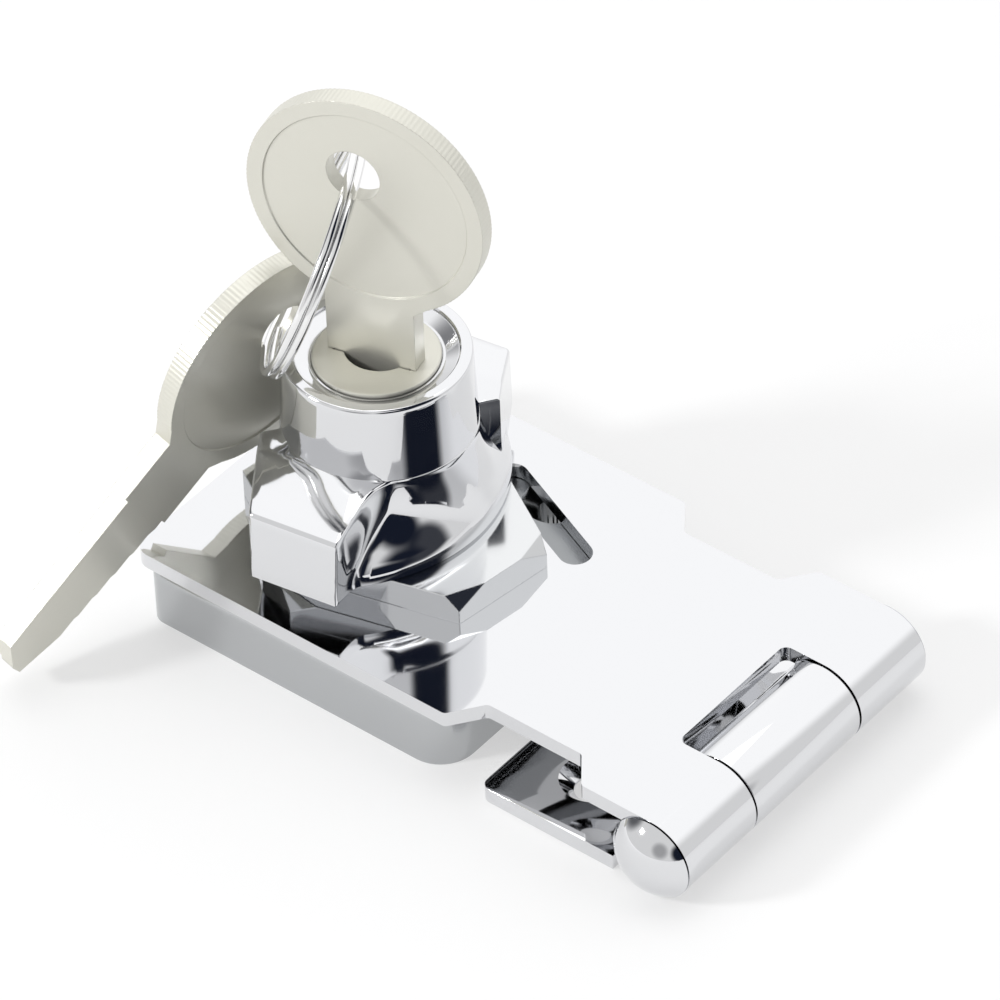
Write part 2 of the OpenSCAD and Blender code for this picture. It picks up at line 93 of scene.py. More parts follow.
@dataclass(frozen=True)
class Metal:
    """A polished or satin metal finish made of procedural nodes.

    Attributes:
        name: Name of the material.
        colour: Linear colour of the metal's reflection.
        roughness: Roughness of the clean surface.
        slot: Slot of the record that the finish belongs to; not used.
        uneven: How far the roughness wanders either way.
        grain: Size of the wandering, in waves per metre.
        edge: Radius that edges look rounded to, in millimetres, or 0.
        painted_shade_z: Height under which painted shade darkens the metal's colour, in millimetres, or
            0.
        painted_shade_fade: Height over which the painted shade fades out, in millimetres.
        metallic: Share of metal in the shading; a frosted plating has less.
    """

    name: str
    colour: tuple[float, float, float]
    roughness: float
    slot: Slot
    uneven: float = 0.02
    grain: float = 300.0
    edge: float = 0.0
    painted_shade_z: float = 0.0
    painted_shade_fade: float = 0.4
    metallic: float = 1.0

    def material(self) -> bpy.types.Material:
        """Makes the finish once and returns it.

        Returns:
            The material of this finish.
        """
        known = bpy.data.materials.get(self.name)
        if known is not None:
            return known
        made = bpy.data.materials.new(self.name)
        made.use_nodes = True
        made.diffuse_color = (*self.colour, 1.0)
        nodes, links = made.node_tree.nodes, made.node_tree.links
        shader = nodes["Principled BSDF"]
        shader.inputs["Base Color"].default_value = (*self.colour, 1.0)
        shader.inputs["Metallic"].default_value = self.metallic
        shader.inputs["Roughness"].default_value = self.roughness
        spot = nodes.new("ShaderNodeTexCoord").outputs["Object"]
        if self.uneven > 0:
            self.vary_roughness(made.node_tree, spot)
        # Painted shade: below a height the colour turns nearly black, as if the hollows lay in shade.
        if self.painted_shade_z > 0:
            self.paint_recess_shade(made.node_tree, spot)
        if self.edge > 0:
            soft = nodes.new("ShaderNodeBevel")
            soft.samples = 4
            soft.inputs["Radius"].default_value = self.edge * MM
            links.new(soft.outputs["Normal"], shader.inputs["Normal"])
        return made

    def vary_roughness(self, tree: bpy.types.NodeTree, spot: bpy.types.NodeSocket) -> None:
        """Lets the roughness wander over the surface.

        Args:
            tree: Nodes of the finish.
            spot: Place on the piece.
        """
        noise = tree.nodes.new("ShaderNodeTexNoise")
        noise.inputs["Scale"].default_value = self.grain
        noise.inputs["Detail"].default_value = 3.0
        tree.links.new(spot, noise.inputs["Vector"])
        spread = tree.nodes.new("ShaderNodeMapRange")
        spread.inputs["To Min"].default_value = max(0.0, self.roughness - self.uneven)
        spread.inputs["To Max"].default_value = self.roughness + self.uneven
        tree.links.new(noise.outputs["Fac"], spread.inputs["Value"])
        tree.links.new(spread.outputs["Result"], tree.nodes["Principled BSDF"].inputs["Roughness"])

    def paint_recess_shade(self, tree: bpy.types.NodeTree, spot: bpy.types.NodeSocket) -> None:
        """Paints shade into the colour of what lies low, so that hollows look dark.

        Args:
            tree: Nodes of the finish.
            spot: Place on the piece.
        """
        split = tree.nodes.new("ShaderNodeSeparateXYZ")
        tree.links.new(spot, split.inputs[0])
        depth = tree.nodes.new("ShaderNodeMapRange")
        depth.inputs["From Min"].default_value = (self.painted_shade_z - self.painted_shade_fade) * MM
        depth.inputs["From Max"].default_value = self.painted_shade_z * MM
        tree.links.new(split.outputs["Z"], depth.inputs["Value"])
        mixed = tree.nodes.new("ShaderNodeMix")
        mixed.data_type = "RGBA"
        # Near-black painted shade below the height, the metal's own colour above it.
        mixed.inputs["A"].default_value = RECESS_SHADE
        mixed.inputs["B"].default_value = (*self.colour, 1.0)
        tree.links.new(depth.outputs["Result"], mixed.inputs["Factor"])
        tree.links.new(mixed.outputs["Result"], tree.nodes["Principled BSDF"].inputs["Base Color"])


CHROME = Metal("bright_chrome", (0.73, 0.735, 0.75), 0.05, Slot.CHROME, uneven=0.015)
CHROME_CUT = Metal("bright_chrome_cut", (0.73, 0.735, 0.75), 0.06, Slot.CHROME, uneven=0.015, edge=0.16)
CAST_CHROME = Metal("cast_chrome", (0.70, 0.71, 0.72), 0.1, Slot.CHROME, uneven=0.03, edge=0.2)
# Darker copy of chrome: painted shade on the strike box's top under the leaf.
SHADED_TOP_CHROME = Metal("shaded_top_chrome", (0.30, 0.31, 0.32), 0.3, Slot.CHROME, uneven=0.05, grain=500.0)
# Darker copy of chrome: painted shade on the strike box's walls.
SATIN_SHADED_CHROME = Metal("satin_shaded_chrome", (0.50, 0.51, 0.52), 0.2, Slot.CHROME, uneven=0.04, grain=500.0)
KEY_NICKEL = Metal("key_nickel", (0.70, 0.69, 0.62), 0.36, Slot.NICKEL, 0.06, 900.0, 0.1, metallic=0.6)
# The plug's nickel with painted shade below 27.3 mm: its keyway, its hollow and the side of its flange
# turn dark.
PLUG_NICKEL = Metal(
    "plug_nickel", (0.70, 0.69, 0.62), 0.36, Slot.NICKEL, 0.03, 900.0, 0.1, painted_shade_z=27.3, metallic=0.6
)
RING_STEEL = Metal("ring_wire", (0.82, 0.82, 0.82), 0.12, Slot.RING, uneven=0.04)
STEEL = Metal("plain_steel", (0.56, 0.56, 0.57), 0.32, Slot.STEEL, uneven=0.08, grain=600.0)
BRASS = Metal("wafer_brass", (0.74, 0.56, 0.27), 0.28, Slot.BRASS, uneven=0.06, grain=600.0)


def dress(piece: bpy.types.Object, metal: Metal) -> None:
    """Gives a piece one finish.

    Args:
        piece: The piece.
        metal: Its finish.
    """
    piece.data.materials.clear()
    piece.data.materials.append(metal.material())


def build_mesh(
    name: str, points: Sequence[Point3], faces: Sequence[Sequence[int]], crease: float = 32.0
) -> bpy.types.Object:
    """Makes an object from points in millimetres.

    Args:
        name: Name of the piece.
        points: Points in millimetres.
        faces: Corners of every face, as places in the list of points.
        crease: Angle in degrees above which an edge stays sharp.

    Returns:
        The new object, linked to the scene.
    """
    mesh = bpy.data.meshes.new(name)
    mesh.from_pydata([(x * MM, y * MM, z * MM) for x, y, z in points], [], faces)
    mesh.validate()
    piece = bpy.data.objects.new(name, mesh)
    bpy.context.scene.collection.objects.link(piece)
    settle(piece, crease)
    return piece


def settle(piece: bpy.types.Object, crease: float) -> None:
    """Turns every face outwards and shades it smooth below an angle.

    Args:
        piece: The piece.
        crease: Angle in degrees above which an edge stays sharp.
    """
    work = bmesh.new()
    work.from_mesh(piece.data)
    bmesh.ops.remove_doubles(work, verts=work.verts, dist=1e-7)
    bmesh.ops.dissolve_degenerate(work, edges=work.edges, dist=1e-7)
    bmesh.ops.recalc_face_normals(work, faces=work.faces)
    work.to_mesh(piece.data)
    work.free()
    piece.data.shade_smooth()
    piece.data.set_sharp_from_angle(angle=math.radians(crease))


def loft(name: str, loops: Sequence[Sequence[Point3]], crease: float = 32.0) -> bpy.types.Object:
    """Skins a list of loops, with a cap at each end.

    Args:
        name: Name of the piece.
        loops: Closed loops with the same number of points.
        crease: Angle in degrees above which an edge stays sharp.

    Returns:
        The new piece.
    """
    count = len(loops[0])
    points = [p for loop in loops for p in loop]
    faces: list[Sequence[int]] = []
    for row in range(len(loops) - 1):
        low, high = row * count, (row + 1) * count
        for k in range(count):
            after = (k + 1) % count
            faces.append((low + k, low + after, high + after, high + k))
    faces.append(tuple(range(count)))
    last = (len(loops) - 1) * count
    faces.append(tuple(last + k for k in reversed(range(count))))
    return build_mesh(name, points, faces, crease)


def lathe(name: str, profile: Sequence[Point], steps: int = 96) -> bpy.types.Object:
    """Revolves a profile about Z.

    Args:
        name: Name of the piece.
        profile: Closed profile of (radius, height).
        steps: Number of steps round.

    Returns:
        The new piece.
    """
    points = [
        (r * math.cos(TAU * k / steps), r * math.sin(TAU * k / steps), z)
        for r, z in profile for k in range(steps)
    ]
    faces = []
    rows = len(profile)
    for row in range(rows):
        low, high = row * steps, ((row + 1) % rows) * steps
        for k in range(steps):
            after = (k + 1) % steps
            faces.append((low + k, low + after, high + after, high + k))
    return build_mesh(name, points, faces)


def prism(name: str, outline: Sequence[Point], low: float, high: float) -> bpy.types.Object:
    """Raises an outline from one height to another."""
    return loft(name, [[(x, y, z) for x, y in outline] for z in (low, high)])


def arc(cx: float, cy: float, r: float, start: float, end: float, steps: int = 12) -> list[Point]:
    """Points along an arc, its angles in degrees."""
    turns = [math.radians(start + (end - start) * k / steps) for k in range(steps + 1)]
    return [(cx + r * math.cos(a), cy + r * math.sin(a)) for a in turns]


def rounded_outline(corners: Sequence[tuple[float, float, float]], steps: int = 6) -> list[Point]:
    """Rounds the corners of an outline.

    Args:
        corners: Corners as (x, y, radius).
        steps: Steps along each rounded corner.

    Returns:
        The points of the rounded outline.
    """
    out: list[Point] = []
    count = len(corners)
    for k, (x, y, r) in enumerate(corners):
        here = Vector((x, y))
        back = Vector(corners[k - 1][:2]) - here
        on = Vector(corners[(k + 1) % count][:2]) - here
        if r <= 0:
            out.append((x, y))
            continue
        half = back.angle(on) / 2
        reach = r / math.tan(half)
        start, end = here + back.normalized() * reach, here + on.normalized() * reach
        centre = here + (back.normalized() + on.normalized()).normalized() * (r / math.sin(half))
        first, last = start - centre, end - centre
        swing = first.angle_signed(last)
        for s in range(steps + 1):
            turned = Vector(first)
            turned.rotate(Matrix.Rotation(-swing * s / steps, 2))
            out.append(tuple(centre + turned))
    return out


def place(piece: bpy.types.Object, matrix: Matrix) -> None:
    """Moves the mesh of a piece, so that the object itself stays at the origin."""
    piece.data.transform(matrix)
    piece.data.update()


def combine(piece: bpy.types.Object, tools: Sequence[bpy.types.Object], mode: Cut) -> None:
    """Cuts tools out of a piece or joins them to it, and deletes them.

    Args:
        piece: The piece that changes.
        tools: The other solids.
        mode: Whether they are cut away or joined on.
    """
    for tool in tools:
        step = piece.modifiers.new("cut", "BOOLEAN")
        step.operation = mode.value
        step.solver = "EXACT"
        step.object = tool
    bake_modifiers(piece)
    for tool in tools:
        bpy.data.objects.remove(tool)


def bake_modifiers(piece: bpy.types.Object) -> None:
    """Replaces a piece's mesh by its evaluated one.

    Args:
        piece: The piece, with its modifiers.
    """
    bpy.context.view_layer.update()
    graph = bpy.context.evaluated_depsgraph_get()
    mesh = bpy.data.meshes.new_from_object(piece.evaluated_get(graph))
    piece.modifiers.clear()
    piece.data = mesh


def soften(piece: bpy.types.Object, width: float, steps: int = 3, angle: float = 35.0) -> None:
    """Rounds every edge of a piece that is sharper than an angle.

    Args:
        piece: The piece.
        width: Width of the rounding in millimetres.
        steps: Steps across it.
        angle: Angle in degrees.
    """
    edge = piece.modifiers.new("edge", "BEVEL")
    edge.width = width * MM
    edge.segments = steps
    edge.limit_method = "ANGLE"
    edge.angle_limit = math.radians(angle)
    edge.miter_outer = "MITER_ARC"
    edge.use_clamp_overlap = True
    bake_modifiers(piece)
    settle(piece, crease=50.0)


def soft_max(a: float, b: float, blend: float) -> float:
    """Larger of two numbers, with a rounded change-over."""
    h = max(blend - abs(a - b), 0.0) / blend
    return max(a, b) + h * h * blend / 4


def soft_min(a: float, b: float, blend: float) -> float:
    """Smaller of two numbers, with a rounded change-over."""
    return -soft_max(-a, -b, blend)


def ramp(value: float, start: float, span: float) -> float:
    """Share of a span that a value has gone past its start, from 0 to 1."""
    return min(max((value - start) / span, 0.0), 1.0)


def sweep(name: str, path: Sequence[Vector], wire: float, around: int = 12) -> bpy.types.Object:
    """Sweeps a round wire along a path, with flat ends.

    Args:
        name: Name of the piece.
        path: Points of the centre line.
        wire: Radius of the wire.
        around: Points round the wire.

    Returns:
        The wire.
    """
    loops = []
    side = Vector((0, 0, 1))
    for k, here in enumerate(path):
        ahead = (path[min(k + 1, len(path) - 1)] - path[max(k - 1, 0)]).normalized()
        side = (side - ahead * side.dot(ahead)).normalized()
        up = ahead.cross(side)
        loops.append([
            tuple(here + side * (wire * math.cos(a)) + up * (wire * math.sin(a)))
            for a in (TAU * j / around for j in range(around))
        ])
    return loft(name, loops, crease=50.0)


def screw_hole(name: str, r: float, sink_r: float, top: float) -> bpy.types.Object:
    """Makes the cutter of a countersunk hole through a plate.

    Args:
        name: Name of the cutter.
        r: Radius of the hole.
        sink_r: Radius of the countersink at the plate's upper face.
        top: Height of that face.

    Returns:
        The cutter, round the Z axis.
    """
    profile = [
        (AXIS, -PAST), (r, -PAST), (r, top - sink_r + r),
        (sink_r, top), (sink_r, top + PAST), (AXIS, top + PAST),
    ]
    return lathe(name, profile, 64)


def paint_top_shade(piece: bpy.types.Object, metal: Metal, height: float) -> None:
    """Gives the level faces at one height another finish, a darker one that paints shade on them.

    Args:
        piece: The piece, dressed already.
        metal: Finish of those faces, darker as painted shade.
        height: Their height in millimetres.
    """
    piece.data.materials.append(metal.material())
    for face in piece.data.polygons:
        if face.normal.z > 0.99 and abs(face.center.z - height * MM) < 1e-5:
            face.material_index = 1


def deliver(piece: bpy.types.Object, body: Body, metal: Metal, *nodes: str) -> None:
    """Dresses a new piece, mounts it on its body and hides the nodes it stands for.

    Args:
        piece: The new piece.
        body: The body it moves with.
        metal: Its finish.
        nodes: The nodes it replaces.
    """
    dress(piece, metal)
    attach(piece, body.value)
    if nodes:
        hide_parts(*nodes)
    LOG.info("%s: %d faces on %s", piece.name, len(piece.data.polygons), body.value)


@dataclass
class Hinge:
    """The two leaves' rolled knuckles and the pin through them.

    Attributes:
        leaf: Thickness of both leaves.
        pin_r: Radius of the pin.
        bore_r: Radius of the knuckles that turn on it.
        pivot_x: Place of the pin.
        width: Width over the outer knuckles.
        middle: Width of the middle knuckle.
        gap: Clearance between the knuckles.
        head: Height of the pin's domed head.
        rivet: Height of its riveted end.
        seam: Gap where the rolled strip meets its own flat part.
        lap: How far a knuckle's strip reaches into its leaf.
        head_gap: Clearance under the head.
        head_lip: Height of the upright rim of the head.
        head_under: How far the head's underside is smaller than a knuckle.
        rivet_under: The same at the riveted end.
    """

    leaf: float = 1.6
    pin_r: float = 2.5
    bore_r: float = 2.55
    pivot_x: float = 44.0
    width: float = 34.5
    middle: float = 14.9
    gap: float = 0.25
    head: float = 2.3
    rivet: float = 1.3
    seam: float = 0.3
    lap: float = 2.0
    head_gap: float = 0.05
    head_lip: float = 0.15
    head_under: float = 0.25
    rivet_under: float = 0.35

    @property
    def outer_r(self) -> float:
        """Radius of a knuckle."""
        return self.bore_r + self.leaf

    def eye(self, plate_x: float, over: bool, bore: float) -> list[Point]:
        """Outline in X and Z of a strip that rolls round the pin.

        Args:
            plate_x: Where the flat part of the strip begins.
            over: True if the strip comes in on the pin's upper side.
            bore: Radius that the strip is rolled to.

        Returns:
            The outline, with the flat part at its start and end.
        """
        way = 1 if over else -1
        stop = -(180 - math.degrees(math.asin((self.outer_r - self.leaf - self.seam) / self.outer_r)))
        outer = arc(0, 0, self.outer_r, 90, stop, 64)
        inner = arc(0, 0, bore, stop, 90, 56)
        flat = plate_x - self.pivot_x
        line = [(flat, self.outer_r)] + outer + inner + [(flat, self.outer_r - self.leaf)]
        return [(self.pivot_x + x, self.outer_r + way * z) for x, z in line]

    @staticmethod
    def knuckle(name: str, outline: Sequence[Point], y0: float, y1: float) -> bpy.types.Object:
        """Draws a rolled strip out along the pin."""
        return loft(name, [[(x, y, z) for x, z in outline] for y in (y0, y1)])

    def dome(self, r: float, height: float, base: float, way: int) -> list[Point]:
        """Profile of a cap, from its rim to the axis.

        Args:
            r: Radius of its rim.
            height: Height of the cap.
            base: Place of its rim along the pin.
            way: 1 for the cap at the far end of the profile and -1 for the near one.

        Returns:
            Points of (radius, place).
        """
        ball = (r * r + height * height) / (2 * height)
        half = math.asin(min(1.0, r / ball))
        steps = 14
        turns = [half * (steps - k) / steps for k in range(steps)]
        cap = [(ball * math.sin(a), base + way * (height - ball * (1 - math.cos(a)))) for a in turns]
        return cap + [(AXIS, base + way * height)]

    def build_pin(self) -> None:
        """Builds the pin with its domed head and riveted end."""
        half, lip = self.width / 2 + self.head_gap, self.head_lip
        head = [(self.outer_r - self.head_under, half)]
        head += self.dome(self.outer_r, self.head - lip, half + lip, 1)
        tail = [(self.outer_r - self.rivet_under, -half)]
        tail += self.dome(self.outer_r - lip, self.rivet - lip, -half - lip, -1)
        profile = [(self.pin_r, half)] + head + list(reversed(tail)) + [(self.pin_r, -half)]
        pin = lathe("hinge_pin_domed", profile)
        seat = Matrix.Translation((self.pivot_x * MM, 0, self.outer_r * MM))
        place(pin, seat @ Matrix.Rotation(math.pi / 2, 4, "X"))
        deliver(pin, Body.BASE, CHROME, "hinge_pin")


@dataclass
class Leaf:
    """The moving leaf that carries the knob.

    Attributes:
        hinge: The hinge that it rolls into.
        free_end: Reach of its free end.
        lock_w: Width where it carries the knob.
        waist_w: Width of its waist.
        lock_end: Where the wide part ends.
        waist_end: Where the waist ends.
        jog: Length of the slope at either end of the waist.
        bore: Radius of the hole for the knob's neck.
        slot_a: Middle of the slot's first round end.
        slot_b: Middle of its other end.
        slot_r: Half width of the slot.
        corner: Radius of the free end's corners.
        jog_r: Radius of the corners at the waist.
        notch_r: Radius in the corners beside the middle knuckle.
        edge: Rounding of every edge.
    """

    hinge: Hinge
    free_end: float = 15.35
    lock_w: float = 34.8
    waist_w: float = 28.3
    lock_end: float = 21.0
    waist_end: float = 33.9
    jog: float = 2.4
    bore: float = 8.35
    slot_a: Point = (6.0, 10.9)
    slot_b: Point = (17.2, 6.1)
    slot_r: float = 1.6
    corner: float = 1.8
    jog_r: float = 0.6
    notch_r: float = 0.8
    edge: float = 0.22

    def build(self) -> None:
        """Builds the leaf as a plate with two rolled knuckles."""
        h = self.hinge
        top = 2 * h.outer_r
        low = top - h.leaf
        notch_y = h.middle / 2 + h.gap
        notch_x = h.pivot_x - h.outer_r - h.gap
        half, waist, wide = self.lock_w / 2, self.waist_w / 2, h.width / 2
        upper = [
            (-self.free_end, half, self.corner), (self.lock_end, half, self.jog_r),
            (self.lock_end + self.jog, waist, self.jog_r), (self.waist_end, waist, self.jog_r),
            (self.waist_end + self.jog, wide, self.jog_r), (h.pivot_x, wide, 0),
            (h.pivot_x, notch_y, 0), (notch_x, notch_y, self.notch_r),
        ]
        lower = [(x, -y, r) for x, y, r in reversed(upper)]
        plate = prism("leaf_plate", rounded_outline(upper + lower), low, top)
        knuckles = [
            h.knuckle("leaf_eye", h.eye(h.pivot_x - h.lap, True, h.bore_r), y0, y1)
            for y0, y1 in ((-wide, -notch_y), (notch_y, wide))
        ]
        combine(plate, knuckles, Cut.JOIN)
        hole = prism("leaf_hole", arc(0, 0, self.bore, 0, 360 - 360 / 96, 95), low - PAST, top + PAST)
        turn = math.degrees(math.atan2(self.slot_b[1] - self.slot_a[1], self.slot_b[0] - self.slot_a[0]))
        line = arc(*self.slot_a, self.slot_r, turn + 90, turn + 270, 20)
        line += arc(*self.slot_b, self.slot_r, turn - 90, turn + 90, 20)
        combine(plate, [hole, prism("leaf_slot", line, low - PAST, top + PAST)], Cut.AWAY)
        soften(plate, self.edge)
        plate.name = "hasp_leaf_rolled"
        deliver(plate, Body.HASP, CHROME, "hasp_leaf")


@dataclass
class FixedLeaf:
    """The screwed-down hinge leaf with the middle knuckle.

    Attributes:
        hinge: The hinge that it rolls into.
        start: Where the leaf begins.
        screws: Distance between its two screw holes.
        screw_r: Radius of a hole.
        sink_r: Radius of its countersink.
        corner: Radius of the leaf's corners.
        edge: Rounding of every edge.
    """

    hinge: Hinge
    start: float = 24.7
    screws: float = 21.0
    screw_r: float = 1.75
    sink_r: float = 3.1
    corner: float = 1.0
    edge: float = 0.2

    def build(self) -> None:
        """Builds the leaf with its countersunk holes."""
        h = self.hinge
        clear = h.pivot_x - h.outer_r - h.gap
        wide, inner = h.width / 2, h.middle / 2
        line = [
            (self.start, wide, self.corner), (clear, wide, 0),
            (clear, inner, 0), (h.pivot_x, inner, 0), (h.pivot_x, -inner, 0), (clear, -inner, 0),
            (clear, -wide, 0), (self.start, -wide, self.corner),
        ]
        plate = prism("fixed_plate", rounded_outline(line), 0, h.leaf)
        eye = h.knuckle("fixed_eye", h.eye(h.pivot_x - h.lap, False, h.pin_r), -inner, inner)
        combine(plate, [eye], Cut.JOIN)
        soften(plate, self.edge)
        holes = []
        for side in (-1, 1):
            hole = screw_hole("fixed_hole", self.screw_r, self.sink_r, h.leaf)
            spot = Vector(((self.start + clear) / 2, side * self.screws / 2, 0))
            place(hole, Matrix.Translation(spot * MM))
            holes.append(hole)
        combine(plate, holes, Cut.AWAY)
        settle(plate, crease=35.0)
        plate.name = "fixed_leaf_rolled"
        deliver(plate, Body.BASE, CHROME, "fixed_leaf")


@dataclass
class StrikeBox:
    """The drawn box that the tongue turns in.

    Attributes:
        left: Reach of the box's free end.
        right: Reach of the end towards the hinge.
        width: Width of the box.
        height: Height of the box.
        wall: Thickness of its walls.
        left_r: Radius of the upright corners at the free end.
        right_r: The same at the other end.
        edge: Rounding of the upper edge.
        slot_w: Width of the tongue's slot.
        slot_len: Length of the slot.
        slot_corner: Radius of its corners.
        screws: Place of a screw hole along and across the box.
        screw_r: Radius of a hole.
        sink_r: Radius of its countersink.
        post_wall: Wall of the post round a countersink.
        post_drop: How far a post's end lies under the box's top.
        least_r: Smallest radius of an upright corner.
    """

    left: float = 14.5
    right: float = 20.6
    width: float = 33.6
    height: float = 6.6
    wall: float = 1.6
    left_r: float = 1.8
    right_r: float = 3.6
    edge: float = 1.5
    slot_w: float = 12.2
    slot_len: float = 21.8
    slot_corner: float = 0.3
    screws: Point = (10.2, 12.0)
    screw_r: float = 1.75
    sink_r: float = 3.1
    post_wall: float = 0.4
    post_drop: float = 0.8
    least_r: float = 0.2

    def outline(self, inset: float) -> list[Point]:
        """Draws the plan of the box, moved inwards.

        Args:
            inset: How far it is moved inwards.

        Returns:
            The plan's points.
        """
        half = self.width / 2 - inset
        a, b = max(self.least_r, self.left_r - inset), max(self.least_r, self.right_r - inset)
        x0, x1 = -self.left + inset, self.right - inset
        return rounded_outline([(x0, half, a), (x1, half, b), (x1, -half, b), (x0, -half, a)], 12)

    def shell(self, name: str, inset: float, low: float) -> bpy.types.Object:
        """Makes the body of the box with a rounded upper edge, or its hollow.

        Args:
            name: Name of the solid.
            inset: How far it lies inside the box's outer face.
            low: Height of its lower face.

        Returns:
            The solid.
        """
        top = self.height - inset
        edge = self.edge - 0.5 * min(inset, 1.0)
        loops = [[(x, y, low) for x, y in self.outline(inset)]]
        steps = 8
        for k in range(steps + 1):
            a = math.pi / 2 * k / steps
            shrink = edge * (1 - math.cos(a))
            z = top - edge + edge * math.sin(a)
            loops.append([(x, y, z) for x, y in self.outline(inset + shrink)])
        return loft(name, loops)

    def build(self) -> None:
        """Builds the box with its posts, slot and countersunk holes."""
        box = self.shell("strike_shell", 0.0, 0.0)
        combine(box, [self.shell("strike_hollow", self.wall, -PAST)], Cut.AWAY)
        posts, cuts = [], []
        sx, sy = self.screws
        for x, y in ((sx, sy), (-sx, sy), (sx, -sy), (-sx, -sy)):
            move = Matrix.Translation((x * MM, y * MM, 0))
            ring, end = self.sink_r + self.post_wall, self.height - self.post_drop
            post = lathe("post", [(AXIS, 0), (ring, 0), (ring, end), (AXIS, end)], 64)
            place(post, move)
            posts.append(post)
            cut = screw_hole("hole", self.screw_r, self.sink_r, self.height)
            place(cut, move)
            cuts.append(cut)
        combine(box, posts, Cut.JOIN)
        w, n, r = self.slot_w / 2, self.slot_len / 2, self.slot_corner
        line = rounded_outline([(w, n, r), (w, -n, r), (-w, -n, r), (-w, n, r)])
        combine(box, cuts + [prism("slot", line, -PAST, self.height + PAST)], Cut.AWAY)
        settle(box, crease=35.0)
        box.name = "strike_box_drawn"
        # Painted shade: the box's walls get a darker copy of chrome.
        deliver(box, Body.BASE, SATIN_SHADED_CHROME, "strike_box")
        # Painted shade: the box's top under the leaf gets a darker copy of chrome.
        paint_top_shade(box, SHADED_TOP_CHROME, self.height)


